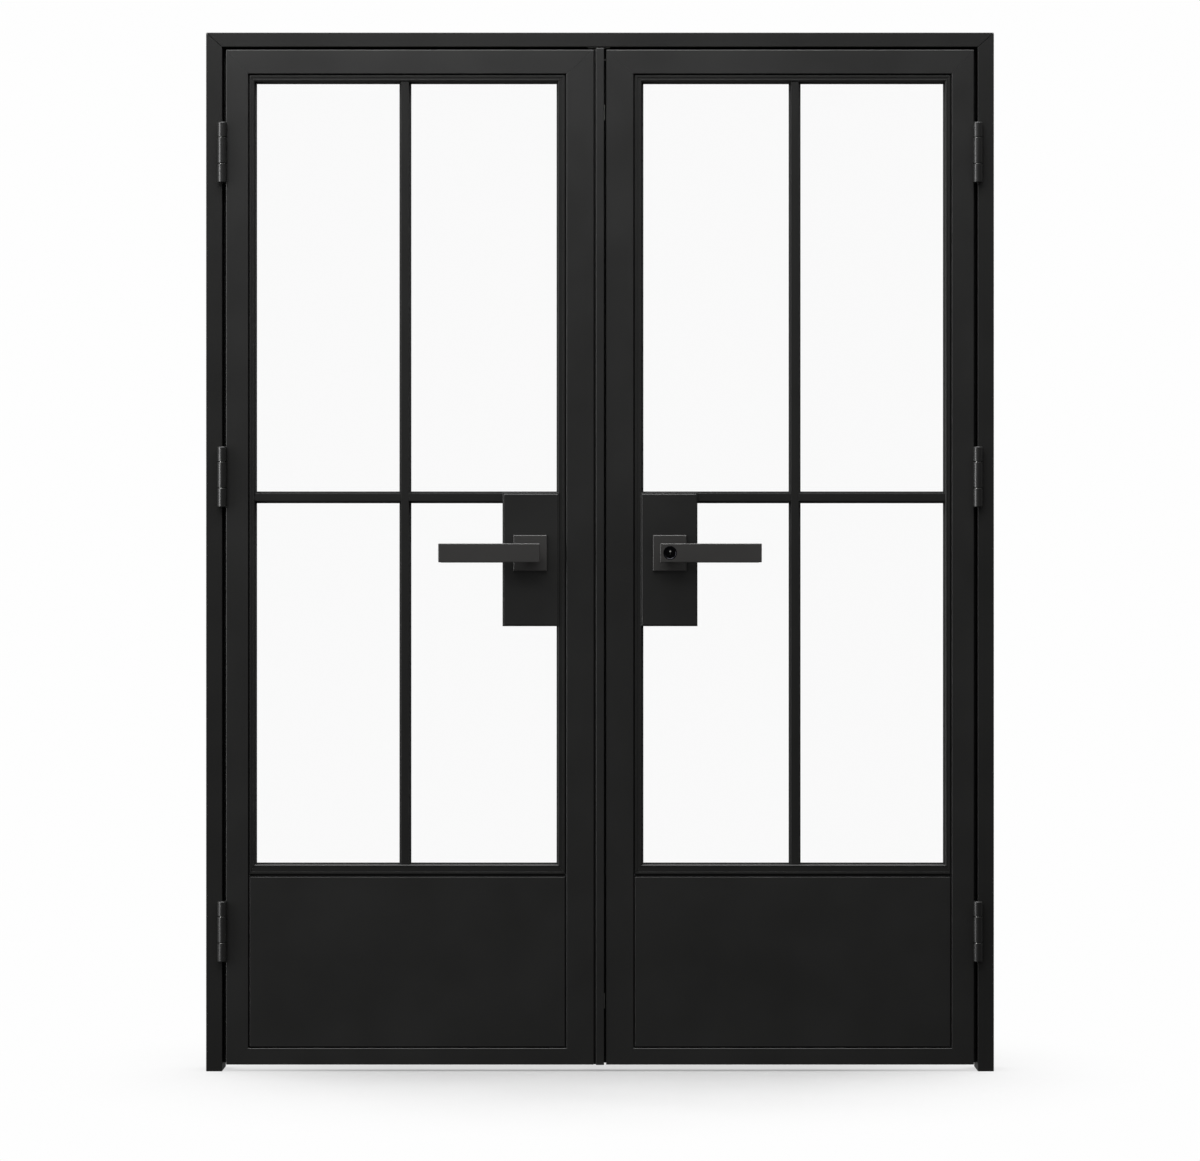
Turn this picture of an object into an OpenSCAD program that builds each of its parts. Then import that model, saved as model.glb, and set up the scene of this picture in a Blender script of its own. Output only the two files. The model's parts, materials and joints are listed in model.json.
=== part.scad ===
// Double steel french doors in their frame: two glazed leaves that swing towards -Y.
// Origin: floor level, midway between the jambs, on the leaves' middle plane. +Z is up.

/* [Frame] */
// Overall width of the frame
frame_w = 1560; // [1300:1:1900]
// Overall height of the frame
frame_h = 2057; // [1714:1:2500]
// Depth of the jambs and head
frame_depth = 100; // [84:1:140]
// Face width of a jamb
jamb_face = 32; // [28:0.5:45]
// Face width of the head
head_face = 28.5; // [26:0.5:45]
// Wall of the frame and leaf tubes
tube_wall = 2; // [1.5:0.1:3]
// Outside corner radius of the tubes
tube_r = 1.5; // [0.5:0.1:1.9]
// Width of a stop bar
stop_w = 20; // [14:1:28]
// Depth of a stop bar
stop_d = 40; // [20:1:48]

/* [Leaves] */
// Thickness of a leaf
leaf_t = 45; // [38:0.5:54]
// Gap between a leaf and its jamb
side_gap = 7.5; // [7:0.1:12]
// Gap between the leaves and the head
head_gap = 5.5; // [4:0.1:12]
// Height of the leaves' bottom edge above the floor
floor_gap = 13.3; // [8:0.1:25]
// Distance from a leaf's meeting edge to the middle
meeting_gap = 12; // [11.5:0.1:14]
// Face width of a hinge stile
hinge_stile_w = 44; // [38:0.5:60]
// Face width of a meeting stile
meeting_stile_w = 54.5; // [50:0.5:70]
// Face height of a top rail
top_rail_h = 47.7; // [40:0.1:70]
// Face height of a bottom rail
bottom_rail_h = 32.7; // [26:0.1:60]
// Width of the dark groove inside the stiles and rails
groove_w = 3; // [2:0.1:5]
// Depth of that groove
groove_d = 10.5; // [6:0.1:12]

/* [Glazing] */
// Face width of the bead beside the hinge stile
bead_hinge = 10; // [8:0.5:20]
// Face width of the bead beside the meeting stile
bead_meeting = 14; // [10:0.5:24]
// Face height of the top bead
bead_top = 12.3; // [9:0.1:24]
// Face height of the bottom bead
bead_bottom = 18.5; // [14:0.1:30]
// Bevel on a bead's inner edge
bead_bevel = 2; // [0.5:0.1:4]
// How far the bead face lies behind the leaf face
bead_set = 0.5; // [0.2:0.1:2]
// Thickness of the glass
glass_t = 6; // [4:0.5:8]
// Thickness of the gasket on each side of the glass
gasket_t = 3; // [2:0.1:4]
// Width of gasket that shows past a bead
gasket_show = 2.6; // [1.5:0.1:4]
// How far a pane runs in behind a bead
glass_bite = 5; // [4:0.5:7]
// Face width of a muntin
muntin_w = 15.2; // [12:0.1:24]
// Thickness of the web between two panes
muntin_web = 5; // [4:0.5:7]
// How far the muntin face lies behind the leaf face
muntin_set = 2.5; // [1:0.1:5]
// Offset of the upright muntin from the middle of the glass, towards the hinges
muntin_shift = 2.6; // [0:0.1:8]

/* [Kick panel] */
// Height of the kick panel's top edge above the floor
kick_top_z = 388; // [300:1:480]
// Thickness of the panel sheet
sheet_t = 2; // [1.5:0.1:2.5]

/* [Hinges] */
// Radius of a hinge barrel
barrel_r = 9.5; // [8.5:0.1:10]
// Length of a hinge barrel
barrel_len = 120; // [100:1:140]
// Length of the top knuckle
knuckle_top = 30; // [26:0.5:34]
// Length of the bottom knuckle
knuckle_bottom = 37; // [30:0.5:42]
// Radius of a hinge pin
pin_r = 5; // [4:0.1:6]
// Thickness of a hinge plate
plate_t = 3; // [2.5:0.1:3]
// Depth of a hinge plate across the leaf edge
plate_d = 32; // [28:1:34]
// Gap between the barrel and the leaf face
barrel_gap = 0.5; // [0.3:0.1:2]
// Distance from a leaf's top edge down to its top hinge
top_hinge_drop = 144; // [100:1:200]
// Height of the middle hinge's top end above the floor
middle_hinge_z = 1237; // [1100:1:1300]
// Height of the bottom hinge's top end above the floor
bottom_hinge_z = 337.5; // [250:0.5:400]

/* [Lock] */
// Width of a lock plate
lock_plate_w = 112; // [104:1:130]
// Height of a lock plate
lock_plate_h = 264; // [220:1:300]
// Thickness of a lock plate
lock_plate_t = 3; // [2:0.5:4]
// Height of the lock plates' top edge above the floor
lock_top_z = 1145.5; // [1100:0.5:1200]
// Distance from a leaf's meeting edge to its lock plate
lock_plate_x = 69; // [67:0.5:75]
// Distance from a leaf's meeting edge to the lever spindle
backset = 126; // [118:1:132]
// Height of the lever spindles above the floor
spindle_z = 1026.3; // [980:0.1:1060]
// Travel of the latch bolt
latch_throw = 12.7; // [10:0.1:13]

/* [Levers] */
// Width of a rose
rose_w = 66.5; // [60:0.5:76]
// Height of a rose
rose_h = 71; // [60:0.5:80]
// Thickness of a rose
rose_t = 9; // [6:0.5:12]
// Length of a lever bar
lever_len = 200; // [150:1:220]
// Height of a lever bar
lever_h = 37.2; // [36:0.1:42]
// Thickness of a lever bar
lever_t = 12; // [10:0.5:16]
// How far a bar runs past its spindle, towards the meeting edge
lever_tail = 19.5; // [18:0.5:24]
// Distance from the leaf's middle plane to the outside lever's front
lever_out = 84.5; // [80:0.5:95]
// Radius of a lever neck
neck_r = 16; // [15:0.5:18]
// Radius of the key cylinder's face
cylinder_r = 13.25; // [12:0.05:14]
// Radius of the key plug
plug_r = 6.35; // [6:0.05:7]
// How far the thumb turn stands off the inside lever
turn_out = 6; // [5:0.5:8]

/* [Astragal and bolts] */
// Width of the astragal's nose
nose_w = 16; // [14:0.1:18]
// How far the nose stands in front of the leaves
nose_out = 4; // [1:0.5:8]
// Width of the rear flange and of the fin seal, each from the middle
flange_w = 36; // [30:1:50]
// Gap between the astragal's top and the head
astragal_top_gap = 2.5; // [2:0.1:5]
// Radius of a flush bolt
bolt_r = 5; // [4:0.1:6]
// Travel of a flush bolt
bolt_throw = 18; // [12:1:20]
// Length of a flush bolt
bolt_len = 225; // [180:1:300]

/* [Fits] */
// Radial clearance of a turning or sliding fit
run = 0.05; // [0.02:0.01:0.1]
// Gap between a seal and the face that it meets
seal_gap = 0.3; // [0.2:0.05:0.5]
// Thickness of a seal strip
seal_t = 2.7; // [2:0.1:4]

/* [Hidden] */
$fn = 48;

// Colours
coat = "#2c2c2b";
lever_coat = "#383736";
rubber_black = "#141414";
nylon_black = "#1a1a1a";
cylinder_black = "#101010";
plug_black = "#1c1c1c";
glass_clear = [0.9, 0.95, 0.95, 0.3];
steel = "#9a9a98";

// Faces and edges of the left leaf. The right leaf is its mirror image.
half_t = leaf_t / 2;
frame_y = [-half_t, frame_depth - half_t];
jamb_in = -(frame_w / 2 - jamb_face);
head_z = frame_h - head_face;
leaf_hinge_x = jamb_in + side_gap;
leaf_meet_x = -meeting_gap;
leaf_top = head_z - head_gap;
stile_hinge_in = leaf_hinge_x + hinge_stile_w;
stile_meet_in = leaf_meet_x - meeting_stile_w;
top_rail_z = leaf_top - top_rail_h;
bottom_rail_z = floor_gap + bottom_rail_h;
leaf_y = [-half_t, half_t];
over = 1;
mitre_gap = 0.2;

// Stops and their seals
stop_y = [half_t + seal_gap + seal_t, half_t + seal_gap + seal_t + stop_d];
stop_in = jamb_in + stop_w;
stop_under = head_z - stop_w;
seal_w = 8;
seal_in = 2;
seal_y = [half_t + seal_gap, half_t + seal_gap + seal_t];

// Glazing: the bead ring runs from the stiles and top rail down to the kick panel
sight_x0 = stile_hinge_in + groove_w + bead_hinge;
sight_x1 = stile_meet_in - groove_w - bead_meeting;
sight_z1 = top_rail_z - groove_w - bead_top;
sight_z0 = kick_top_z + groove_w + bead_bottom;
bead_y = half_t - bead_set;
foot_y = half_t - groove_d;
seat_y = glass_t / 2 + gasket_t;
gasket_base = 1.5;
gasket_in = glass_bite + gasket_show;
pane_x0 = sight_x0 - glass_bite;
pane_x1 = sight_x1 + glass_bite;
pane_z0 = sight_z0 - glass_bite;
pane_z1 = sight_z1 + glass_bite;
muntin_x = (sight_x0 + sight_x1) / 2 - muntin_shift;
muntin_z = lock_top_z - muntin_w / 2 - 0.9;
muntin_y = half_t - muntin_set;
pane_gap = muntin_web / 2 + gasket_base;
mid_rail_top = pane_z0 - gasket_base;
mid_rail_h = 25;
mid_rail_y = foot_y - sheet_t;

// Lock box, behind the lock plates
plate_x1 = leaf_meet_x - lock_plate_x;
plate_x0 = plate_x1 - lock_plate_w;
plate_z0 = lock_top_z - lock_plate_h;
box_wall = 2;
box_x1 = sight_x1;
box_core_x0 = plate_x0 + 12;
box_core_z0 = plate_z0 + 12;
box_core_z1 = muntin_z + muntin_web / 2;
lug_h = 20;
spindle_x = leaf_meet_x - backset;
spindle_w = 8;
spindle_hole_r = 9;
plate_y = half_t + lock_plate_t;
rose_y = plate_y + rose_t;
rose_bevel = 1.5;
inside_out = lever_out - turn_out;
neck_end_y = plate_y + 0.3;
square_end_y = plate_y + 34;
cylinder_back_y = square_end_y + 1.5;
keyway = [2, 8];
turn_shaft_r = 4;
turn_back_y = square_end_y + 2;
turn_disc_r = 11;
turn_disc_t = 1.5;
turn_bar = [6, 18];

// Latch, drawn on the left and mirrored into the right leaf
case_y = 5.8;
case_h = 24;
case_len = backset + 14;
face_t = 1.5;
face_h = 57;
face_y = 12.5;
bolt_y = 4;
bolt_h = 16;
head_len = 34;
hub_r = 9;
hub_t = 5;
latch_tip = leaf_meet_x + latch_throw;
tail_end = spindle_x + hub_r + latch_throw + 1;
tail_y = 1.5;
tail_h = 8;
pocket = [6, 20];

// Astragal, on the left leaf's meeting edge
nose_x = nose_w / 2;
nose_y = -half_t - nose_out;
web_y = -half_t + groove_d;
astragal_z = [floor_gap - 0.3, head_z - astragal_top_gap];
flange_t = 3;
flange_top = stop_under - 2;
fin_y = [half_t + seal_gap, half_t + flange_t - 0.4];
fin_tip = 0.8;
cavity_x = [leaf_meet_x + tube_wall, nose_x - tube_wall];
bolt_x = (cavity_x[0] + cavity_x[1]) / 2;
guide_h = 25;
guide_run = bolt_len - 2 * guide_h;
slide_h = 30;
slide_out = 1.5;
slide_y = 3;
slide_inset = 110;
slide_top = [astragal_z[1] - slide_inset - slide_h, astragal_z[1] - slide_inset + bolt_throw];
slide_bottom = [astragal_z[0] + slide_inset - bolt_throw, astragal_z[0] + slide_inset + slide_h];
slot_slack = 0.5;
strike_t = 1;
keeper_t = 1.2;
keeper_slot = 2 * bolt_r + 3;
bolt_slot = [2 * bolt_r + 6, 2 * bolt_r + 4];

// Hinges and fixings
axis_x = jamb_in + 0.4;
axis_y = -half_t - barrel_gap - barrel_r;
hinge_tops = [leaf_top - top_hinge_drop, middle_hinge_z, bottom_hinge_z];
washer_t = 0.8;
washer_gap = 0.1;
seam = washer_t + 2 * washer_gap;
knuckle_mid = [knuckle_bottom + seam, barrel_len - knuckle_top - seam];
plate_y0 = -half_t + 0.5;
plate_end = plate_y0 + plate_d;
screw_r = 2.5;
screw_head_r = 4.8;
screw_len = 12;
screw_rise = 42;
anchor_r = 4.5;
anchor_y = 5;
anchor_count = 4;
anchor_end = 150;
anchor_pitch = (frame_h - 2 * anchor_end) / (anchor_count - 1);

module coated(c = coat) { color(c) children(); }
module right_side() { mirror([1, 0, 0]) children(); }
module both_faces() { children(); mirror([0, 1, 0]) children(); }

// A flat outline in X and Z, given thickness from y[0] to y[1]
module slab(points, y) {
  translate([0, y[1], 0]) rotate([90, 0, 0]) linear_extrude(y[1] - y[0]) polygon(points);
}

module block(x, y, z) {
  translate([x[0], y[0], z[0]]) cube([x[1] - x[0], y[1] - y[0], z[1] - z[0]]);
}

module round_rect(w, d, r) {
  square([w - 2 * r, d], center = true);
  square([w, d - 2 * r], center = true);
  for (sx = [-1, 1], sy = [-1, 1]) translate([sx * (w / 2 - r), sy * (d / 2 - r)]) circle(r);
}

module tube_section(w, d, wall, r) {
  difference() {
    round_rect(w, d, r);
    square([w - 2 * wall, d - 2 * wall], center = true);
  }
}

module tube_z(x, y, z, wall = tube_wall, r = tube_r) {
  translate([(x[0] + x[1]) / 2, (y[0] + y[1]) / 2, z[0]])
    linear_extrude(z[1] - z[0]) tube_section(x[1] - x[0], y[1] - y[0], wall, r);
}

module tube_x(x, y, z, wall = tube_wall, r = tube_r) {
  translate([x[0], (y[0] + y[1]) / 2, (z[0] + z[1]) / 2]) rotate([0, 90, 0])
    linear_extrude(x[1] - x[0]) tube_section(z[1] - z[0], y[1] - y[0], wall, r);
}

module rod_x(x, y, z, r) { translate([x[0], y, z]) rotate([0, 90, 0]) cylinder(h = x[1] - x[0], r = r); }
module rod_y(x, y, z, r) { translate([x, y[0], z]) rotate([-90, 0, 0]) cylinder(h = y[1] - y[0], r = r); }
module rod_z(x, y, z, r) { translate([x, y, z[0]]) cylinder(h = z[1] - z[0], r = r); }

// Places of the three screws of each hinge
module at_hinge_screws() {
  for (top = hinge_tops, k = [-1, 0, 1])
    translate([0, (plate_y0 + plate_end) / 2 + (k == 0 ? 6 : -4), top - barrel_len / 2 + k * screw_rise])
      children();
}

// Countersunk screw along +X, its head's face at x = 0
module hinge_screw() {
  rotate([0, 90, 0]) {
    cylinder(h = plate_t - 0.4, r1 = screw_head_r, r2 = screw_r);
    cylinder(h = screw_len, r = screw_r);
  }
}

module side_frame_screws() {
  translate([jamb_in + plate_t, 0, 0]) at_hinge_screws() mirror([1, 0, 0]) hinge_screw();
}
module leaf_screws() { translate([leaf_hinge_x - plate_t, 0, 0]) at_hinge_screws() hinge_screw(); }

// Frame

module jamb_body() {
  difference() {
    intersection() {
      tube_z([-frame_w / 2, jamb_in], frame_y, [0, frame_h]);
      slab([[-frame_w / 2, 0], [-frame_w / 2, frame_h], [jamb_in, head_z], [jamb_in, 0]],
        [frame_y[0] - over, frame_y[1] + over]);
    }
    for (i = [0 : anchor_count - 1])
      rod_x([-frame_w / 2 - over, jamb_in + over], anchor_y, anchor_end + i * anchor_pitch, anchor_r);
    side_frame_screws();
  }
}

module left_jamb() { coated() jamb_body(); }
module right_jamb() { coated() right_side() jamb_body(); }

module head_jamb() {
  coated() difference() {
    intersection() {
      tube_x([-frame_w / 2, frame_w / 2], frame_y, [head_z, frame_h]);
      slab([[-frame_w / 2, frame_h], [frame_w / 2, frame_h], [-jamb_in, head_z], [jamb_in, head_z]],
        [frame_y[0] - over, frame_y[1] + over]);
    }
    block([bolt_x - bolt_slot[0] / 2, bolt_x + bolt_slot[0] / 2], [-bolt_slot[1] / 2, bolt_slot[1] / 2],
      [head_z - over, head_z + tube_wall + over]);
  }
}

module side_stop() {
  intersection() {
    tube_z([jamb_in, stop_in], stop_y, [floor_gap, head_z], 1.5, 1);
    slab([[jamb_in, floor_gap], [jamb_in, head_z - mitre_gap], [stop_in, stop_under - mitre_gap],
      [stop_in, floor_gap]], [stop_y[0] - over, stop_y[1] + over]);
  }
}

module frame_stops() {
  coated() {
    side_stop();
    right_side() side_stop();
    intersection() {
      tube_x([jamb_in, -jamb_in], stop_y, [stop_under, head_z], 1.5, 1);
      slab([[jamb_in, head_z], [-jamb_in, head_z], [-stop_in, stop_under], [stop_in, stop_under]],
        [stop_y[0] - over, stop_y[1] + over]);
    }
  }
}

module frame_seals() {
  x0 = stop_in - seal_in - seal_w;
  z0 = stop_under + seal_in;
  color(rubber_black) {
    block([x0, x0 + seal_w], seal_y, [floor_gap + 5, z0]);
    block([-x0 - seal_w, -x0], seal_y, [floor_gap + 5, z0]);
    block([x0, -x0], seal_y, [z0, z0 + seal_w]);
  }
}

// Hinges

module knuckle(z, bore) {
  translate([axis_x, axis_y, z[0]]) rotate_extrude() polygon([
    [bore, 0], [barrel_r - 1, 0], [barrel_r, 1], [barrel_r, z[1] - z[0] - 1],
    [barrel_r - 1, z[1] - z[0]], [bore, z[1] - z[0]]
  ]);
}

module jamb_plates() {
  x = [jamb_in, jamb_in + plate_t];
  difference() {
    for (top = hinge_tops) {
      z = top - barrel_len;
      block(x, [plate_y0, plate_end], [z, top]);
      for (part = [[z, z + knuckle_bottom], [top - knuckle_top, top]]) {
        knuckle(part, pin_r);
        block(x, [axis_y + pin_r + 1, plate_y0 + over], part);
      }
    }
    side_frame_screws();
  }
}

module leaf_plates() {
  x = [leaf_hinge_x - plate_t, leaf_hinge_x];
  difference() {
    for (top = hinge_tops) {
      part = [top - barrel_len + knuckle_mid[0], top - barrel_len + knuckle_mid[1]];
      block(x, [plate_y0, plate_end], [top - barrel_len, top]);
      knuckle(part, pin_r + run);
      block(x, [axis_y + pin_r, plate_y0 + over], part);
    }
    leaf_screws();
  }
}

module left_hinge_jamb_plates() { coated() jamb_plates(); }
module right_hinge_jamb_plates() { coated() right_side() jamb_plates(); }
module left_hinge_leaf_plates() { coated() leaf_plates(); }
module right_hinge_leaf_plates() { coated() right_side() leaf_plates(); }

// A pin for each hinge, with a washer in each seam between the knuckles
module side_pins() {
  for (top = hinge_tops) {
    rod_z(axis_x, axis_y, [top - barrel_len, top], pin_r);
    for (z = [top - barrel_len + knuckle_bottom, top - knuckle_top - seam]) difference() {
      rod_z(axis_x, axis_y, [z + washer_gap, z + washer_gap + washer_t], barrel_r - 1.5);
      rod_z(axis_x, axis_y, [z - over, z + seam + over], pin_r + run);
    }
  }
}

module hinge_pins() {
  color(steel) {
    side_pins();
    right_side() side_pins();
  }
}

module frame_screws() {
  color(steel) {
    side_frame_screws();
    right_side() side_frame_screws();
  }
}

module head_keeper() {
  color(steel) difference() {
    block([bolt_x - 22, bolt_x + 22], [-12, 12], [head_z - keeper_t, head_z]);
    block([bolt_x - keeper_slot / 2, bolt_x + keeper_slot / 2], [-keeper_slot / 2, keeper_slot / 2],
      [head_z - keeper_t - over, head_z + over]);
  }
}

// Leaf frame, left side

module hinge_stile_body() {
  difference() {
    intersection() {
      tube_z([leaf_hinge_x, stile_hinge_in], leaf_y, [floor_gap, leaf_top]);
      slab([
        [leaf_hinge_x, floor_gap], [leaf_hinge_x, leaf_top], [stile_hinge_in, top_rail_z],
        [stile_hinge_in, bottom_rail_z], [stile_hinge_in - bottom_rail_h, floor_gap]
      ], [-half_t - over, half_t + over]);
    }
    leaf_screws();
  }
}

module meeting_stile_body(latched) {
  difference() {
    intersection() {
      tube_z([stile_meet_in, leaf_meet_x], leaf_y, [floor_gap, leaf_top]);
      slab([
        [leaf_meet_x, floor_gap], [leaf_meet_x, leaf_top], [stile_meet_in, top_rail_z],
        [stile_meet_in, bottom_rail_z], [stile_meet_in + bottom_rail_h, floor_gap]
      ], [-half_t - over, half_t + over]);
    }
    if (latched)
      block([stile_meet_in - over, leaf_meet_x + over], [-case_y, case_y],
        [spindle_z - case_h / 2, spindle_z + case_h / 2]);
  }
}

module top_rail_body() {
  intersection() {
    tube_x([leaf_hinge_x, leaf_meet_x], leaf_y, [top_rail_z, leaf_top]);
    slab([[leaf_hinge_x, leaf_top], [leaf_meet_x, leaf_top], [stile_meet_in, top_rail_z],
      [stile_hinge_in, top_rail_z]], [-half_t - over, half_t + over]);
  }
}

module bottom_rail_body() {
  x = [stile_hinge_in - bottom_rail_h, stile_meet_in + bottom_rail_h];
  intersection() {
    tube_x(x, leaf_y, [floor_gap, bottom_rail_z]);
    slab([[x[0], floor_gap], [x[1], floor_gap], [stile_meet_in, bottom_rail_z],
      [stile_hinge_in, bottom_rail_z]], [-half_t - over, half_t + over]);
  }
}

module mid_rail_body() {
  tube_x([stile_hinge_in, stile_meet_in], [-mid_rail_y, mid_rail_y],
    [mid_rail_top - mid_rail_h, mid_rail_top]);
}

module left_hinge_stile() { coated() hinge_stile_body(); }
module left_meeting_stile() { coated() meeting_stile_body(false); }
module left_top_rail() { coated() top_rail_body(); }
module left_bottom_rail() { coated() bottom_rail_body(); }
module left_mid_rail() { coated() mid_rail_body(); }
module right_hinge_stile() { coated() right_side() hinge_stile_body(); }
module right_meeting_stile() { coated() right_side() meeting_stile_body(true); }
module right_top_rail() { coated() right_side() top_rail_body(); }
module right_bottom_rail() { coated() right_side() bottom_rail_body(); }
module right_mid_rail() { coated() right_side() mid_rail_body(); }

// Glazing

// Section of a front bead: across from the frame, then depth. The foot fills the groove's floor.
function bead_section(w, seat) = [
  [0, -foot_y], [groove_w, -foot_y], [groove_w, -bead_y], [groove_w + w - bead_bevel, -bead_y],
  [groove_w + w, -bead_y + bead_bevel], [groove_w + w, -seat_y], [seat, -seat_y], [seat, -mid_rail_y],
  [0, -mid_rail_y]
];
// The stiles and the top rail leave room for a foot that reaches the gasket
function side_section(w) = [
  [0, -foot_y], [groove_w, -foot_y], [groove_w, -bead_y], [groove_w + w - bead_bevel, -bead_y],
  [groove_w + w, -bead_y + bead_bevel], [groove_w + w, -seat_y], [0, -seat_y]
];

module front_beads() {
  x = [stile_hinge_in, stile_meet_in];
  z = [kick_top_z, top_rail_z];
  y = [-half_t, 0];
  g = mitre_gap;
  intersection() {
    translate([x[0], 0, z[0]]) linear_extrude(z[1] - z[0]) polygon(side_section(bead_hinge));
    slab([[x[0], z[0] + g], [x[0], z[1] - g], [sight_x0, sight_z1 - g], [sight_x0, sight_z0 + g]], y);
    union() {
      block([x[0] - over, x[1]], y, [mid_rail_top + g, z[1]]);
      block([x[0] - over, x[1]], [y[0], -mid_rail_y], [z[0], z[1]]);
    }
  }
  intersection() {
    translate([x[1], 0, z[0]]) mirror([1, 0, 0]) linear_extrude(z[1] - z[0])
      polygon(side_section(bead_meeting));
    slab([[x[1], z[0] + g], [x[1], z[1] - g], [sight_x1, sight_z1 - g], [sight_x1, sight_z0 + g]], y);
    union() {
      block([x[0], x[1] + over], y, [mid_rail_top + g, z[1]]);
      block([x[0], x[1] + over], [y[0], -mid_rail_y], [z[0], z[1]]);
    }
  }
  intersection() {
    translate([x[1], 0, z[1]]) mirror([0, 0, 1]) rotate([0, -90, 0]) linear_extrude(x[1] - x[0])
      polygon(side_section(bead_top));
    slab([[x[0], z[1]], [x[1], z[1]], [sight_x1, sight_z1], [sight_x0, sight_z1]], y);
  }
  intersection() {
    translate([x[1], 0, z[0]]) rotate([0, -90, 0]) linear_extrude(x[1] - x[0])
      polygon(bead_section(bead_bottom, mid_rail_top - kick_top_z));
    slab([[x[0], z[0]], [x[1], z[0]], [sight_x1, sight_z0], [sight_x0, sight_z0]], y);
  }
}

module glazing_beads() { both_faces() front_beads(); }

module muntin_section() {
  square([muntin_web, 2 * muntin_y], center = true);
  for (s = [-1, 1]) translate([0, s * (muntin_y + seat_y) / 2])
    square([muntin_w, muntin_y - seat_y], center = true);
}

module vertical_muntin() {
  translate([muntin_x, 0, sight_z0]) linear_extrude(sight_z1 - sight_z0) muntin_section();
  block([muntin_x - muntin_web / 2, muntin_x + muntin_web / 2], [-seat_y, seat_y], [mid_rail_top, pane_z1]);
}

module horizontal_muntin(x, web) {
  translate([x[0], 0, muntin_z]) rotate([0, 90, 0]) linear_extrude(x[1] - x[0]) muntin_section();
  block(web, [-seat_y, seat_y], [muntin_z - muntin_web / 2, muntin_z + muntin_web / 2]);
}

module horizontal_muntins() {
  horizontal_muntin([sight_x0, muntin_x - muntin_w / 2], [pane_x0, muntin_x - muntin_web / 2]);
  horizontal_muntin([muntin_x + muntin_w / 2, plate_x0], [muntin_x + muntin_web / 2, box_core_x0]);
}

// Outlines of the four panes, grown by d. The lower one beside the lock is notched.
function pane_box(x, z, d) = [
  [x[0] - d, z[0] - d], [x[1] + d, z[0] - d], [x[1] + d, z[1] + d], [x[0] - d, z[1] + d]
];
function notched_pane(d) = [
  [muntin_x + pane_gap - d, pane_z0 - d], [pane_x1 + d, pane_z0 - d],
  [pane_x1 + d, box_core_z0 - gasket_base + d],
  [box_core_x0 - gasket_base + d, box_core_z0 - gasket_base + d],
  [box_core_x0 - gasket_base + d, muntin_z - pane_gap + d],
  [muntin_x + pane_gap - d, muntin_z - pane_gap + d]
];
function pane_outlines(d) = [
  pane_box([pane_x0, muntin_x - pane_gap], [muntin_z + pane_gap, pane_z1], d),
  pane_box([muntin_x + pane_gap, pane_x1], [muntin_z + pane_gap, pane_z1], d),
  pane_box([pane_x0, muntin_x - pane_gap], [pane_z0, muntin_z - pane_gap], d),
  notched_pane(d)
];

module glass_panes() {
  for (outline = pane_outlines(0)) slab(outline, [-glass_t / 2, glass_t / 2]);
}

module glazing_gaskets() {
  for (i = [0 : 3]) difference() {
    slab(pane_outlines(gasket_base)[i], [-seat_y, seat_y]);
    slab(pane_outlines(0)[i], [-glass_t / 2, glass_t / 2]);
    slab(pane_outlines(-gasket_in)[i], [-seat_y - over, seat_y + over]);
  }
}

// Kick panel: a flat tray on each face, its rim folded out to the stiles and rails
module kick_tray() {
  x = [stile_hinge_in + groove_w, stile_meet_in - groove_w];
  z = [bottom_rail_z + groove_w, kick_top_z];
  difference() {
    union() {
      block(x, [-bead_y, -mid_rail_y], z);
      block([stile_hinge_in, stile_meet_in], [-foot_y, -mid_rail_y], [bottom_rail_z, kick_top_z]);
    }
    block([x[0] + sheet_t, x[1] - sheet_t], [-bead_y + sheet_t, -mid_rail_y + over],
      [z[0] + sheet_t, z[1] - sheet_t]);
  }
}
module kick_panels() { both_faces() kick_tray(); }

module left_glazing_beads() { coated() glazing_beads(); }
module left_vertical_muntin() { coated() vertical_muntin(); }
module left_horizontal_muntins() { coated() horizontal_muntins(); }
module left_glass_panes() { color(glass_clear) glass_panes(); }
module left_glazing_gaskets() { color(rubber_black) glazing_gaskets(); }
module left_kick_panels() { coated() kick_panels(); }
module right_glazing_beads() { coated() right_side() glazing_beads(); }
module right_vertical_muntin() { coated() right_side() vertical_muntin(); }
module right_horizontal_muntins() { coated() right_side() horizontal_muntins(); }
module right_glass_panes() { color(glass_clear) right_side() glass_panes(); }
module right_glazing_gaskets() { color(rubber_black) right_side() glazing_gaskets(); }
module right_kick_panels() { coated() right_side() kick_panels(); }

// Lock box: a wide tray on each face joined by a narrower core between the panes
module lock_box_body() {
  wide_x = [plate_x0, box_x1];
  wide_z = [plate_z0, lock_top_z];
  core_x = [box_core_x0, box_x1];
  core_z = [box_core_z0, box_core_z1];
  difference() {
    union() {
      block(wide_x, [-half_t, -seat_y], wide_z);
      block(wide_x, [seat_y, half_t], wide_z);
      block(core_x, [-seat_y, seat_y], core_z);
      for (z = [core_z[0], core_z[1] - lug_h])
        block([box_x1, stile_meet_in], [-seat_y, seat_y], [z, z + lug_h]);
    }
    block([wide_x[0] + box_wall, wide_x[1] - box_wall], [-half_t - over, -seat_y - box_wall],
      [wide_z[0] + box_wall, wide_z[1] - box_wall]);
    block([wide_x[0] + box_wall, wide_x[1] - box_wall], [seat_y + box_wall, half_t + over],
      [wide_z[0] + box_wall, wide_z[1] - box_wall]);
    block([core_x[0] + box_wall, core_x[1] - box_wall], [-half_t, half_t],
      [core_z[0] + box_wall, core_z[1] - box_wall]);
    block([core_x[0] + box_wall, stile_meet_in], [-case_y, case_y],
      [spindle_z - case_h / 2, spindle_z + case_h / 2]);
  }
}

module lock_plates_body() {
  both_faces() difference() {
    block([plate_x0, plate_x1], [-plate_y, -half_t], [plate_z0, lock_top_z]);
    rod_y(spindle_x, [-plate_y - over, -half_t + over], spindle_z, spindle_hole_r);
  }
}

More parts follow.
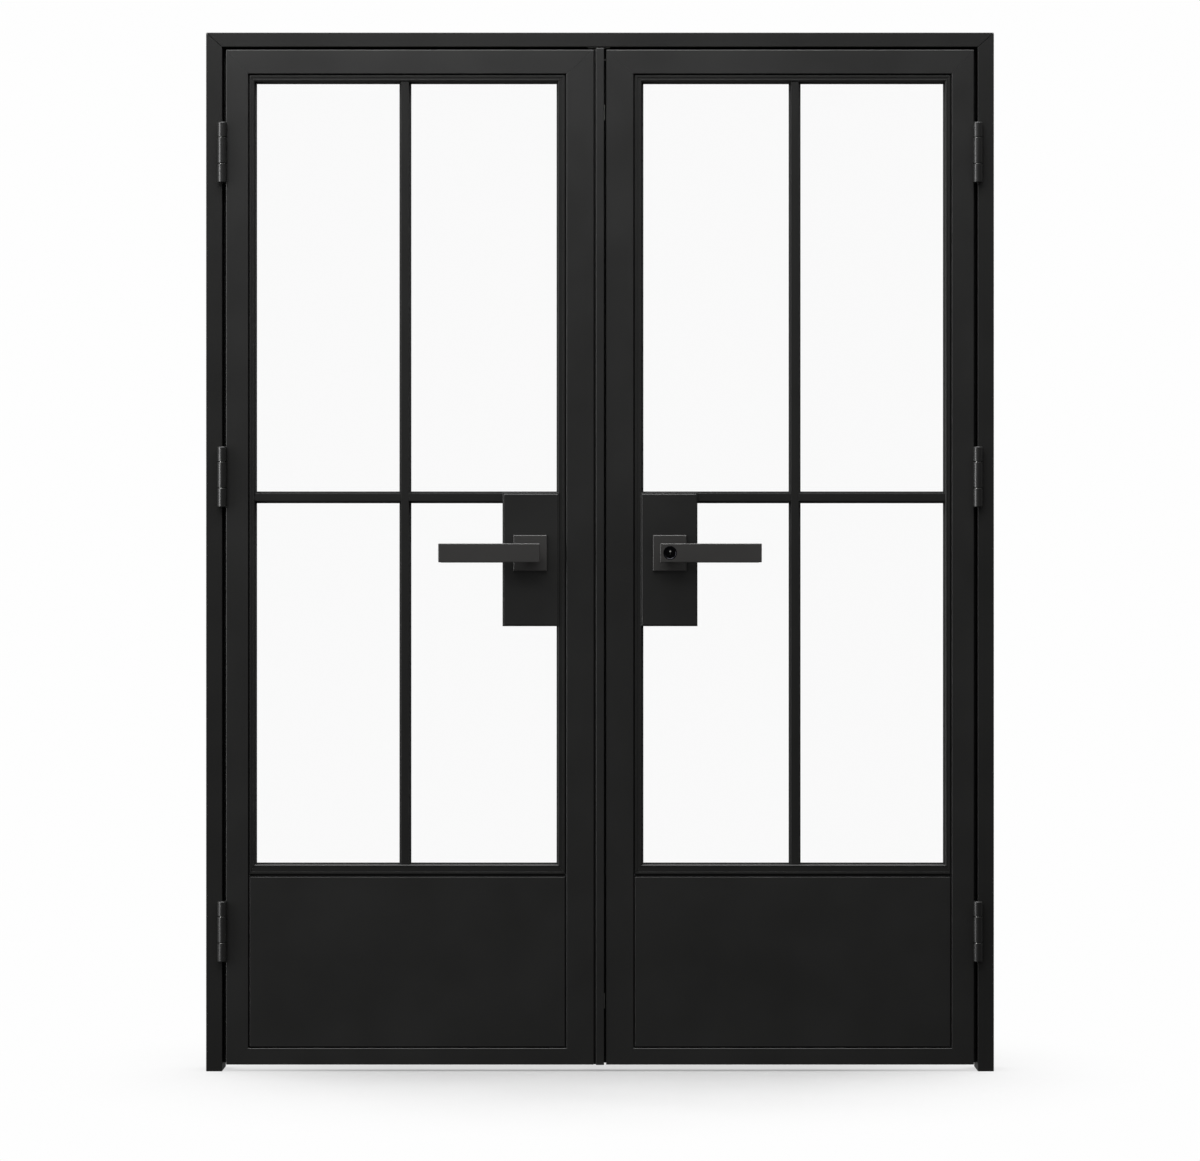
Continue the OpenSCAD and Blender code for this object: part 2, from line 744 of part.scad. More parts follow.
module roses_body() {
  both_faces() difference() {
    translate([spindle_x, -plate_y, spindle_z]) rotate([90, 0, 0])
      linear_extrude(rose_t) round_rect(rose_w, rose_h, rose_bevel);
    rod_y(spindle_x, [-rose_y - over, -plate_y + over], spindle_z, neck_r + run);
  }
}

// A lever whose bar's face lies at y = -out, its neck bored for the square spindle
module lever_body(out, core_r, core_back) {
  difference() {
    union() {
      translate([spindle_x + lever_tail - lever_len / 2, -out + lever_t, spindle_z]) rotate([90, 0, 0])
        linear_extrude(lever_t) round_rect(lever_len, lever_h, 1);
      rod_y(spindle_x, [-out + lever_t / 2, -neck_end_y], spindle_z, neck_r);
    }
    block([spindle_x - spindle_w / 2, spindle_x + spindle_w / 2], [-square_end_y, -neck_end_y + over],
      [spindle_z - spindle_w / 2, spindle_z + spindle_w / 2]);
    if (core_r > 0) rod_y(spindle_x, [-out - over, -core_back], spindle_z, core_r);
  }
}

module spindle_body(hub) {
  block([spindle_x - spindle_w / 2, spindle_x + spindle_w / 2], [-square_end_y, square_end_y],
    [spindle_z - spindle_w / 2, spindle_z + spindle_w / 2]);
  if (hub) rod_y(spindle_x, [-hub_t, hub_t], spindle_z, hub_r);
}

module left_lock_box() { coated() lock_box_body(); }
module left_lock_plates() { coated() lock_plates_body(); }
module left_roses() { coated(lever_coat) roses_body(); }
module left_outside_lever() { coated(lever_coat) lever_body(lever_out, 0, 0); }
module left_inside_lever() { coated(lever_coat) mirror([0, 1, 0]) lever_body(inside_out, 0, 0); }
module left_lever_spindle() { color(steel) spindle_body(false); }
module right_lock_box() { coated() right_side() lock_box_body(); }
module right_lock_plates() { coated() right_side() lock_plates_body(); }
module right_roses() { coated(lever_coat) right_side() roses_body(); }
module right_outside_lever() {
  coated(lever_coat) right_side() lever_body(lever_out, cylinder_r, cylinder_back_y);
}
module right_inside_lever() {
  coated(lever_coat) right_side() mirror([0, 1, 0]) lever_body(inside_out, turn_shaft_r + run, turn_back_y);
}
module right_lever_spindle() { color(steel) right_side() spindle_body(true); }

module key_cylinder() {
  color(cylinder_black) right_side() difference() {
    rod_y(spindle_x, [-lever_out + 0.3, -cylinder_back_y], spindle_z, cylinder_r);
    rod_y(spindle_x, [-lever_out - over, -cylinder_back_y - 1], spindle_z, plug_r + run);
  }
}

module key_plug() {
  color(plug_black) right_side() difference() {
    rod_y(spindle_x, [-lever_out + 0.5, -cylinder_back_y - 1.2], spindle_z, plug_r);
    block([spindle_x - keyway[0] / 2, spindle_x + keyway[0] / 2], [-lever_out - over, -lever_out + 14],
      [spindle_z - keyway[1] / 2 + 1, spindle_z + keyway[1] / 2 + 1]);
  }
}

module thumb_turn() {
  y0 = inside_out + 0.2;
  coated(lever_coat) right_side() {
    rod_y(spindle_x, [turn_back_y + 0.3, y0 + turn_disc_t], spindle_z, turn_shaft_r);
    rod_y(spindle_x, [y0, y0 + turn_disc_t], spindle_z, turn_disc_r);
    block([spindle_x - turn_bar[0] / 2, spindle_x + turn_bar[0] / 2], [y0 + turn_disc_t / 2, lever_out],
      [spindle_z - turn_bar[1] / 2, spindle_z + turn_bar[1] / 2]);
  }
}

// Latch

module latch_case() {
  z = [spindle_z - case_h / 2, spindle_z + case_h / 2];
  color(steel) right_side() difference() {
    union() {
      block([leaf_meet_x - case_len, leaf_meet_x], [-case_y, case_y], z);
      block([leaf_meet_x, leaf_meet_x + face_t], [-face_y, face_y],
        [spindle_z - face_h / 2, spindle_z + face_h / 2]);
    }
    block([leaf_meet_x - head_len - latch_throw - over, leaf_meet_x + face_t + over],
      [-bolt_y - run, bolt_y + run], [spindle_z - bolt_h / 2 - run, spindle_z + bolt_h / 2 + run]);
    block([spindle_x, leaf_meet_x - head_len], [-tail_y - run, tail_y + run],
      [spindle_z - tail_h / 2 - run, spindle_z + tail_h / 2 + run]);
    rod_y(spindle_x, [-case_y - over, case_y + over], spindle_z, hub_r + run);
  }
}

module latch_bolt() {
  z = [spindle_z - bolt_h / 2, spindle_z + bolt_h / 2];
  bevel = latch_throw - 2;
  color(steel) right_side() {
    translate([0, 0, z[0]]) linear_extrude(bolt_h) polygon([
      [leaf_meet_x - head_len, -bolt_y], [latch_tip, -bolt_y], [latch_tip, -bolt_y + 2],
      [latch_tip - bevel, bolt_y], [leaf_meet_x - head_len, bolt_y]
    ]);
    block([tail_end, leaf_meet_x - head_len + 1], [-tail_y, tail_y],
      [spindle_z - tail_h / 2, spindle_z + tail_h / 2]);
  }
}

// Astragal and flush bolts

module astragal() {
  coated() difference() {
    translate([0, 0, astragal_z[0]]) linear_extrude(astragal_z[1] - astragal_z[0]) difference() {
      polygon([[leaf_meet_x, web_y], [-nose_x, web_y], [-nose_x, nose_y], [nose_x, nose_y],
        [nose_x, half_t], [leaf_meet_x, half_t]]);
      polygon([[cavity_x[0], web_y + tube_wall], [-nose_x + tube_wall, web_y + tube_wall],
        [-nose_x + tube_wall, nose_y + tube_wall], [cavity_x[1], nose_y + tube_wall],
        [cavity_x[1], half_t - tube_wall], [cavity_x[0], half_t - tube_wall]]);
    }
    block([cavity_x[1] - over, nose_x + over], [-pocket[0], pocket[0]],
      [spindle_z - pocket[1] / 2, spindle_z + pocket[1] / 2]);
    for (slot = [slide_top, slide_bottom])
      block([cavity_x[1] - over, nose_x + over], [-slide_y - 0.2, slide_y + 0.2],
        [slot[0] - slot_slack, slot[1] + slot_slack]);
  }
}

module astragal_flange() {
  coated() block([-flange_w, nose_x], [half_t, half_t + flange_t], [astragal_z[0], flange_top]);
}

// A rubber fin that laps behind the right leaf and bends past it
module astragal_seal() {
  color(rubber_black) translate([0, 0, astragal_z[0]]) linear_extrude(flange_top - astragal_z[0])
    polygon([[nose_x, fin_y[0]], [flange_w, fin_y[0]], [flange_w, fin_y[0] + fin_tip], [nose_x, fin_y[1]]]);
}

module strike_plate() {
  color(steel) difference() {
    block([nose_x, nose_x + strike_t], [-11, 11], [spindle_z - 32, spindle_z + 32]);
    block([nose_x - over, nose_x + strike_t + over], [-pocket[0], pocket[0]],
      [spindle_z - pocket[1] / 2, spindle_z + pocket[1] / 2]);
  }
}

module bolt_guide(z) {
  difference() {
    block(cavity_x, [web_y + tube_wall, half_t - tube_wall], [z, z + guide_h]);
    rod_z(bolt_x, 0, [z - over, z + guide_h + over], bolt_r + run);
  }
}
module bolt_guides() {
  color(nylon_black) {
    bolt_guide(astragal_z[1] - guide_h);
    bolt_guide(astragal_z[1] - guide_h - guide_run);
    bolt_guide(astragal_z[0]);
    bolt_guide(astragal_z[0] + guide_run);
  }
}

module flush_bolt(z, slide_z) {
  rod_z(bolt_x, 0, z, bolt_r);
  block([bolt_x, nose_x + slide_out], [-slide_y, slide_y], [slide_z, slide_z + slide_h]);
}
module top_flush_bolt() {
  color(steel) flush_bolt([astragal_z[1] - 1 - bolt_len, astragal_z[1] - 1], slide_top[0]);
}
module bottom_flush_bolt() {
  color(steel) flush_bolt([astragal_z[0] + 1, astragal_z[0] + 1 + bolt_len], slide_bottom[1] - slide_h);
}

module left_leaf_screws() { color(steel) leaf_screws(); }
module right_leaf_screws() { color(steel) right_side() leaf_screws(); }

left_jamb();
right_jamb();
head_jamb();
frame_stops();
frame_seals();
left_hinge_jamb_plates();
right_hinge_jamb_plates();
hinge_pins();
frame_screws();
head_keeper();
left_hinge_stile();
left_meeting_stile();
left_top_rail();
left_bottom_rail();
left_mid_rail();
left_glazing_beads();
left_vertical_muntin();
left_horizontal_muntins();
left_glass_panes();
left_glazing_gaskets();
left_kick_panels();
left_lock_box();
left_lock_plates();
left_hinge_leaf_plates();
left_roses();
left_leaf_screws();
left_outside_lever();
left_inside_lever();
left_lever_spindle();
astragal();
astragal_flange();
astragal_seal();
strike_plate();
bolt_guides();
top_flush_bolt();
bottom_flush_bolt();
right_hinge_stile();
right_meeting_stile();
right_top_rail();
right_bottom_rail();
right_mid_rail();
right_glazing_beads();
right_vertical_muntin();
right_horizontal_muntins();
right_glass_panes();
right_glazing_gaskets();
right_kick_panels();
right_lock_box();
right_lock_plates();
right_hinge_leaf_plates();
right_roses();
right_leaf_screws();
right_outside_lever();
right_inside_lever();
right_lever_spindle();
latch_case();
latch_bolt();
key_cylinder();
key_plug();
thumb_turn();
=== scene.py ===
# %% [markdown]
# # Steel french doors
# These doors are welded from steel tube and finished in black powder coat. The construction,
# sizes and joints come with the frame. This lesson models the pieces that show, gives every
# surface a finish, and then lights the doors in a plain white studio.

# %% Load the frame
import json
import math

import bpy
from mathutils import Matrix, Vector


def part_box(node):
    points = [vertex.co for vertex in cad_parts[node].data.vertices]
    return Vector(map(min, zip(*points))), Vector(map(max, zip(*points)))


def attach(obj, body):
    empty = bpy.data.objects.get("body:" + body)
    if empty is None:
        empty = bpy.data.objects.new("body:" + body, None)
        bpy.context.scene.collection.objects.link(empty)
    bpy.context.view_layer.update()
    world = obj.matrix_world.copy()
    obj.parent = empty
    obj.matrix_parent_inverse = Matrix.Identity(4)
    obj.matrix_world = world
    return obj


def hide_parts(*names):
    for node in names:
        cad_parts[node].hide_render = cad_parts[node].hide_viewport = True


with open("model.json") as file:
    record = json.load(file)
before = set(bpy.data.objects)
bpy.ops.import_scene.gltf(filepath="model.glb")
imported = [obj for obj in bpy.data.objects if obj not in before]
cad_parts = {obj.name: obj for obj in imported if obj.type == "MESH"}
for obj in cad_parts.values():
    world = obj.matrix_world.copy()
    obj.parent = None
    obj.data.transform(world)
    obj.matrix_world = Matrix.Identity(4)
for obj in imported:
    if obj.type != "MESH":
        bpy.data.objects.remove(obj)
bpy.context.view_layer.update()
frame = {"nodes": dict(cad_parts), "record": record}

MM = 0.001

# %% [markdown]
# ## Helpers for modelling
# Operators act on whatever is selected, so every step starts by selecting nothing. Faces,
# edges and corners are then picked by where they are, which keeps working when a size changes.

# %% Selecting


def activate(piece):
    """Leaves edit mode, selects one object alone and makes it the active one."""
    if bpy.context.object and bpy.context.object.mode != "OBJECT":
        bpy.ops.object.mode_set(mode="OBJECT")
    bpy.ops.object.select_all(action="DESELECT")
    if piece:
        piece.select_set(True)
        bpy.context.view_layer.objects.active = piece


def pick_faces(piece, test):
    """Opens the piece in edit mode and selects only the faces whose middle and normal pass."""
    activate(piece)
    bpy.ops.object.mode_set(mode="EDIT")
    bpy.ops.mesh.select_mode(type="FACE")
    bpy.ops.mesh.select_all(action="DESELECT")
    bpy.ops.object.mode_set(mode="OBJECT")
    for face in piece.data.polygons:
        face.select = test(face.center, face.normal)
    bpy.ops.object.mode_set(mode="EDIT")


def pick_edges(piece, test):
    """The same for edges, whose test is given their two ends."""
    activate(piece)
    bpy.ops.object.mode_set(mode="EDIT")
    bpy.ops.mesh.select_mode(type="EDGE")
    bpy.ops.mesh.select_all(action="DESELECT")
    bpy.ops.object.mode_set(mode="OBJECT")
    points = piece.data.vertices
    for edge in piece.data.edges:
        edge.select = test(points[edge.vertices[0]].co, points[edge.vertices[1]].co)
    bpy.ops.object.mode_set(mode="EDIT")


def near(a, b, slack=0.02 * MM):
    return abs(a - b) < slack


# %% [markdown]
# A primitive is only a start. It is added at its real size and place, and applying its
# transform moves that place into the mesh, so that the object itself stays at the origin.

# %% Starting shapes


def block(name, lo, hi):
    activate(None)
    middle = [(a + b) / 2 for a, b in zip(lo, hi)]
    size = [b - a for a, b in zip(lo, hi)]
    bpy.ops.mesh.primitive_cube_add(size=1, location=middle, scale=size)
    bpy.context.object.name = name
    bpy.ops.object.transform_apply(location=True, rotation=True, scale=True)
    return bpy.context.object


TURNS = {"x": (0, math.pi / 2, 0), "y": (-math.pi / 2, 0, 0), "z": (0, 0, 0)}


def drum(name, start, length, radius, along, sides=64):
    """A round bar from start, running its length along an axis."""
    activate(None)
    axis = Vector([float(along == letter) for letter in "xyz"])
    bpy.ops.mesh.primitive_cylinder_add(
        vertices=sides, radius=radius, depth=abs(length), rotation=TURNS[along],
        location=Vector(start) + axis * length / 2)
    bpy.context.object.name = name
    bpy.ops.object.transform_apply(location=True, rotation=True, scale=True)
    return bpy.context.object


# %% [markdown]
# Bars meet at mitres, so a bar is sawn by a plane. Edges on rolled steel are never sharp, and it
# is their small radius that catches the light, so most pieces end with a bevel.

# %% Sawing, drilling and softening


def saw(piece, point, outward):
    """Cuts off what lies past a plane and closes the cut."""
    activate(piece)
    bpy.ops.object.mode_set(mode="EDIT")
    bpy.ops.mesh.select_all(action="SELECT")
    bpy.ops.mesh.bisect(plane_co=point, plane_no=outward, use_fill=True, clear_outer=True)
    bpy.ops.object.mode_set(mode="OBJECT")


def score(piece, point, normal):
    """Adds an edge loop where a plane passes through, and removes nothing."""
    activate(piece)
    bpy.ops.object.mode_set(mode="EDIT")
    bpy.ops.mesh.select_all(action="SELECT")
    bpy.ops.mesh.bisect(plane_co=point, plane_no=normal)
    bpy.ops.object.mode_set(mode="OBJECT")


def extrude(step):
    """Extrudes the picked faces of the piece in edit mode, then leaves edit mode."""
    bpy.ops.mesh.extrude_region_move(TRANSFORM_OT_translate={"value": step})
    bpy.ops.object.mode_set(mode="OBJECT")


def drill(piece, cutter):
    """Takes the cutter's volume out of the piece, then deletes the cutter."""
    activate(piece)
    cut = piece.modifiers.new("cut", "BOOLEAN")
    cut.operation = "DIFFERENCE"
    cut.solver = "EXACT"
    cut.object = cutter
    bpy.ops.object.modifier_apply(modifier=cut.name)
    activate(cutter)
    bpy.ops.object.delete()


def soften(piece, radius, segments=3):
    """Rounds the piece's sharp edges with an applied bevel."""
    activate(piece)
    bevel = piece.modifiers.new("edges", "BEVEL")
    bevel.width = radius
    bevel.segments = segments
    bevel.limit_method = "ANGLE"
    bevel.angle_limit = math.radians(30)
    bevel.use_clamp_overlap = True
    bpy.ops.object.modifier_apply(modifier=bevel.name)
    return piece


def shade(piece):
    """Shades rounded edges smooth. Normals weighted by area keep the broad faces flat."""
    activate(piece)
    bpy.ops.object.shade_smooth_by_angle(angle=math.radians(40))
    weigh = piece.modifiers.new("weigh", "WEIGHTED_NORMAL")
    weigh.keep_sharp = True
    weigh.weight = 80
    bpy.ops.object.modifier_apply(modifier=weigh.name)


def join(name, pieces):
    activate(pieces[0])
    for piece in pieces[1:]:
        piece.select_set(True)
    if len(pieces) > 1:
        bpy.ops.object.join()
    bpy.context.object.name = name
    return bpy.context.object


def mirror_copy(piece, name, axis):
    """A copy with its own mesh, turned over across the plane where that axis is 0."""
    activate(piece)
    bpy.ops.object.duplicate()
    twin = bpy.context.object
    twin.name = name
    twin.scale["xyz".index(axis)] = -1
    bpy.ops.object.transform_apply(location=True, rotation=True, scale=True)
    bpy.ops.object.mode_set(mode="EDIT")
    bpy.ops.mesh.select_all(action="SELECT")
    bpy.ops.mesh.normals_make_consistent(inside=False)
    bpy.ops.object.mode_set(mode="OBJECT")
    return twin


# %% [markdown]
# ## Helpers for finishes
# Colours are written as the hex values that a paint chart would give and turned to linear
# light by one function. A pattern's scale is one over its real size in metres.

# %% Colours and nodes


def linear(hex_colour):
    """An sRGB hex colour as linear red, green, blue and alpha."""
    parts = [int(hex_colour[i:i + 2], 16) / 255 for i in (1, 3, 5)]
    return [p / 12.92 if p <= 0.04045 else ((p + 0.055) / 1.055) ** 2.4 for p in parts] + [1.0]


def per_metre(millimetres):
    return 1 / (millimetres * MM)


def add(tree, kind, settings=None, inputs=None):
    """Adds a node. An input is a value, or another node's output to link from."""
    node = tree.nodes.new(kind)
    for key, value in (settings or {}).items():
        setattr(node, key, value)
    for key, value in (inputs or {}).items():
        if isinstance(value, bpy.types.NodeSocket):
            tree.links.new(value, node.inputs[key])
        else:
            node.inputs[key].default_value = value
    return node


def new_material(name):
    material = bpy.data.materials.new(name)
    material.use_nodes = True
    material.node_tree.nodes.clear()
    return material, material.node_tree


def two_tones(tree, pattern, dark, light):
    """The colour between two tones that a pattern's grey picks over its middle third."""
    share = add(tree, "ShaderNodeMapRange", inputs={
        "Value": pattern, "From Min": 0.35, "From Max": 0.65}).outputs["Result"]
    # a Mix node's colour sockets are its inputs 6 and 7 and its output 2
    return add(tree, "ShaderNodeMix", {"data_type": "RGBA"}, {
        "Factor": share, 6: linear(dark), 7: linear(light)}).outputs[2]


# %% [markdown]
# ## Satin black powder coat
# Powder coat is a polyester skin about 0.08 mm thick, baked on steel. It flows out almost flat
# but keeps a fine orange peel, which spreads reflections softly. It is a plastic to the eye, so
# it isn't metallic. The peel is drawn a little coarser than life, or it would not show.


# %% Powder coat
CLOUD_MM = 140  # how far apart the thicker and thinner areas of the coat lie
UNEVEN = 0.02  # how much they change its roughness


def powder_coat(name, dark, light, roughness, peel_mm=2.5, peel_depth=0.012, gloss=0.5):
    material, tree = new_material(name)
    place = add(tree, "ShaderNodeTexCoord").outputs["Object"]
    cloud = add(tree, "ShaderNodeTexNoise", inputs={
        "Vector": place, "Scale": per_metre(CLOUD_MM), "Detail": 3.0}).outputs["Fac"]
    peel = add(tree, "ShaderNodeTexNoise", inputs={
        "Vector": place, "Scale": per_metre(peel_mm), "Detail": 2.0}).outputs["Fac"]
    bump = add(tree, "ShaderNodeBump", inputs={
        "Strength": 0.35, "Distance": peel_depth * MM, "Height": peel}).outputs["Normal"]
    uneven = add(tree, "ShaderNodeMapRange", inputs={
        "Value": cloud, "From Min": 0.3, "From Max": 0.7,
        "To Min": roughness - UNEVEN, "To Max": roughness + UNEVEN}).outputs["Result"]
    shader = add(tree, "ShaderNodeBsdfPrincipled", inputs={
        "Base Color": two_tones(tree, cloud, dark, light),
        "Roughness": uneven, "Specular IOR Level": gloss, "Normal": bump})
    add(tree, "ShaderNodeOutputMaterial", inputs={"Surface": shader.outputs["BSDF"]})
    return material


black_coat = powder_coat("satin_black_powder_coat", "#141413", "#161615", 0.36)
flat_coat = powder_coat("flat_black_powder_coat", "#181817", "#191918", 0.42, gloss=0.25)
lever_coat = powder_coat("satin_black_lever_finish", "#383736", "#3c3b3a", 0.33, 1.2, 0.006)
hinge_coat = powder_coat("satin_black_hinge_finish", "#131312", "#161615", 0.34, 1.0, 0)
print("coats:", [coat.name for coat in (black_coat, flat_coat, lever_coat, hinge_coat)])

# %% [markdown]
# ## Metals and rubbers
# What is hidden while the doors are shut still shows when they open: zinc plated steel on the
# bolts, latch and screws, black EPDM on the seals and gaskets, and nylon in the bolt guides.
# The key cylinder is plated gloss black.


# %% Plated steel
def plated_steel(name, dark, light, roughness, grain_mm=0.6):
    material, tree = new_material(name)
    place = add(tree, "ShaderNodeTexCoord").outputs["Object"]
    stretch = add(tree, "ShaderNodeMapping", inputs={"Vector": place, "Scale": (1, 1, 0.06)})
    grain = add(tree, "ShaderNodeTexNoise", inputs={
        "Vector": stretch.outputs["Vector"], "Scale": per_metre(grain_mm),
        "Detail": 4.0}).outputs["Fac"]
    bump = add(tree, "ShaderNodeBump", inputs={
        "Strength": 0.2, "Distance": 0.01 * MM, "Height": grain}).outputs["Normal"]
    shader = add(tree, "ShaderNodeBsdfPrincipled", inputs={
        "Base Color": two_tones(tree, grain, dark, light), "Metallic": 1.0,
        "Roughness": roughness, "Normal": bump})
    add(tree, "ShaderNodeOutputMaterial", inputs={"Surface": shader.outputs["BSDF"]})
    return material


zinc_steel = plated_steel("zinc_plated_steel", "#8f908d", "#a9aaa6", 0.34)
gloss_black = plated_steel("gloss_black_plating", "#1b1b1d", "#26262a", 0.16, 0.3)


# %% Rubber and nylon
def moulded(name, dark, light, roughness, grain_mm):
    material, tree = new_material(name)
    place = add(tree, "ShaderNodeTexCoord").outputs["Object"]
    grain = add(tree, "ShaderNodeTexNoise", inputs={
        "Vector": place, "Scale": per_metre(grain_mm), "Detail": 3.0}).outputs["Fac"]
    bump = add(tree, "ShaderNodeBump", inputs={
        "Strength": 0.3, "Distance": 0.03 * MM, "Height": grain}).outputs["Normal"]
    shader = add(tree, "ShaderNodeBsdfPrincipled", inputs={
        "Base Color": two_tones(tree, grain, dark, light),
        "Roughness": roughness, "Normal": bump})
    add(tree, "ShaderNodeOutputMaterial", inputs={"Surface": shader.outputs["BSDF"]})
    return material


epdm = moulded("black_epdm_rubber", "#0c0c0c", "#121212", 0.75, 1.0)
nylon = moulded("black_nylon", "#161616", "#1d1d1d", 0.5, 0.8)

# %% [markdown]
# ## Float glass
# Float glass is clear, with an IOR of 1.52 and flat polished faces. A flat pane shifts what is
# behind it by only a millimetre or two, so light is let straight through, and the mirror share
# grows towards grazing view as the IOR says. It is worked out where light enters the pane.

# %% Glass
clear_glass, tree = new_material("clear_float_glass")
place = add(tree, "ShaderNodeTexCoord").outputs["Object"]
roller_wave = add(tree, "ShaderNodeTexNoise", inputs={
    "Vector": place, "Scale": per_metre(300), "Detail": 1.0}).outputs["Fac"]
wave_bump = add(tree, "ShaderNodeBump", inputs={
    "Strength": 0.05, "Distance": 0.02 * MM, "Height": roller_wave}).outputs["Normal"]
share = add(tree, "ShaderNodeFresnel", inputs={"IOR": 1.52, "Normal": wave_bump}).outputs["Fac"]
leaving = add(tree, "ShaderNodeNewGeometry").outputs["Backfacing"]
entering = add(tree, "ShaderNodeMath", {"operation": "SUBTRACT"}, {
    0: 1.0, 1: leaving}).outputs["Value"]
share = add(tree, "ShaderNodeMath", {"operation": "MULTIPLY"}, {
    0: share, 1: entering}).outputs["Value"]
through = add(tree, "ShaderNodeBsdfTransparent", inputs={"Color": linear("#ffffff")})
mirror = add(tree, "ShaderNodeBsdfPrincipled", inputs={
    "Base Color": linear("#ffffff"), "Metallic": 1.0, "Roughness": 0.0, "Normal": wave_bump})
pane = add(tree, "ShaderNodeMixShader", inputs={"Fac": share})
tree.links.new(through.outputs["BSDF"], pane.inputs[1])
tree.links.new(mirror.outputs["BSDF"], pane.inputs[2])
add(tree, "ShaderNodeOutputMaterial", inputs={"Surface": pane.outputs["Shader"]})

slot_materials = {
    "black_coat": black_coat, "lever_coat": lever_coat, "black_cylinder": gloss_black,
    "bare_steel": zinc_steel, "rubber": epdm, "nylon": nylon, "glass": clear_glass}


def dress(piece, slot):
    piece.data.materials.clear()
    piece.data.materials.append(slot_materials[slot])


def place_piece(piece, body, slot, *nodes):
    """Gives a finished piece its shading, its material and its body, and hides the solids it stands
    for.
    """
    shade(piece)
    dress(piece, slot)
    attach(piece, body)
    if nodes:
        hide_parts(*nodes)
    return piece


# %% [markdown]
# ## Every solid gets its finish
# The solids whose shape is already right keep it and only change material. The record says
# which slot each belongs to. The latch bolt, latch case and strike plate are plated black, and
# this black also paints the shade of the gap between the leaves, where they show in it.

# %% Dress the solids
for part in frame["record"]["subparts"]:
    solid = frame["nodes"][part["node"]]
    dress(solid, part["material_slot"])
    for face in solid.data.polygons:
        face.material_index = 0
# gloss black plating, which also paints the shade of the gap between the leaves
for node in ("latch_bolt", "latch_case", "strike_plate"):
    frame["nodes"][node].data.materials[0] = gloss_black

# %% [markdown]
# ## Key sizes
# The driving positions are read from the solids, so that the modelled pieces land on them.

# %% Positions from the solids
jamb_lo, jamb_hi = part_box("left_jamb")
head_lo, head_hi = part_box("head_jamb")
stile_lo, stile_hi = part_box("left_hinge_stile")
meet_lo, meet_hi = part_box("left_meeting_stile")
top_lo, top_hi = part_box("left_top_rail")
foot_lo, foot_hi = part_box("left_bottom_rail")
WELD = 0.05 * MM  # the leaves' mitres are ground nearly smooth
FRAME_WELD = 0.45 * MM  # the frame's keep a fine dark line
ARRIS = 1.3 * MM  # outside corner radius of the tubes
print("leaf: %.1f by %.1f mm" % ((meet_hi[0] - stile_lo[0]) / MM, (top_hi[2] - stile_lo[2]) / MM))


def mitre(piece, a, b, keep, back=WELD):
    """Saws a piece along the line from a to b in the XZ plane, on the side away from keep."""
    along = Vector((b[0] - a[0], 0, b[1] - a[1])).normalized()
    outward = Vector((along.z, 0, -along.x))
    start = Vector((a[0], 0, a[1]))
    if (Vector((keep[0], 0, keep[1])) - start).dot(outward) > 0:
        outward = -outward
    saw(piece, start - outward * back, outward)


# %% [markdown]
# ## Jambs and head
# The outer frame is 100 mm deep steel tube, mitred and welded at the top corners. A jamb starts as
# a box, is sawn at its mitre, opened at the foot as cut tube is, and drilled for its anchors.

# %% Jambs
TUBE_WALL = 2 * MM
JAMB_HOLLOW = 250 * MM  # how far up the open foot is hollow
jamb = soften(block("jamb_left", jamb_lo, jamb_hi), ARRIS)
inner_corner = (jamb_hi[0], head_lo[2])
mitre(jamb, (jamb_lo[0], jamb_hi[2]), inner_corner, (jamb_lo[0], 0), FRAME_WELD)
pick_faces(jamb, lambda c, n: n.z < -0.99 and near(c.z, jamb_lo[2]))
bpy.ops.mesh.inset(thickness=TUBE_WALL, depth=0)
extrude((0, 0, JAMB_HOLLOW))

for mount in frame["record"]["mounts"]:
    if mount["kind"] == "bolt_pattern" and mount["pos_m"][0] < 0:
        half, hole_r = mount["dims"]["spacing_y_mm"] / 2 * MM, mount["dims"]["hole_r_mm"] * MM
        for z in (mount["pos_m"][2] - half, mount["pos_m"][2] + half):
            start = (jamb_lo[0] - 10 * MM, mount["pos_m"][1], z)
            drill(jamb, drum("anchor_hole", start, 60 * MM, hole_r, "x", 32))
jamb_right = mirror_copy(jamb, "jamb_right", "x")
place_piece(jamb, "frame", "black_coat", "left_jamb")
place_piece(jamb_right, "frame", "black_coat", "right_jamb")
print("jambs:", len(jamb.data.polygons), "faces each")

# %% Head
head = soften(block("head", head_lo, head_hi), ARRIS)
for side in (-1, 1):
    mitre(head, (side * head_hi[0], head_hi[2]), (-side * jamb_hi[0], head_lo[2]), (0, head_hi[2]),
          FRAME_WELD)
keeper_lo, keeper_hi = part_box("head_keeper")
socket_x = (keeper_lo[0] + keeper_hi[0]) / 2
SOCKET_X, SOCKET_Y, SOCKET_DEEP = 8 * MM, 7 * MM, 24 * MM  # half its width, half its depth, height
drill(head, block("bolt_socket", (socket_x - SOCKET_X, -SOCKET_Y, head_lo[2] - 1 * MM),
                  (socket_x + SOCKET_X, SOCKET_Y, head_lo[2] + SOCKET_DEEP)))
place_piece(head, "frame", "black_coat", "head_jamb")
for piece in (jamb, jamb_right, head):
    piece.data.materials[0] = flat_coat

# %% [markdown]
# ## Leaf frame
# Each leaf is four tubes. The top corners are mitred from corner to corner. At the bottom the
# rail is slimmer than the stiles, so its weld runs up at 45 degrees to the inner corner.

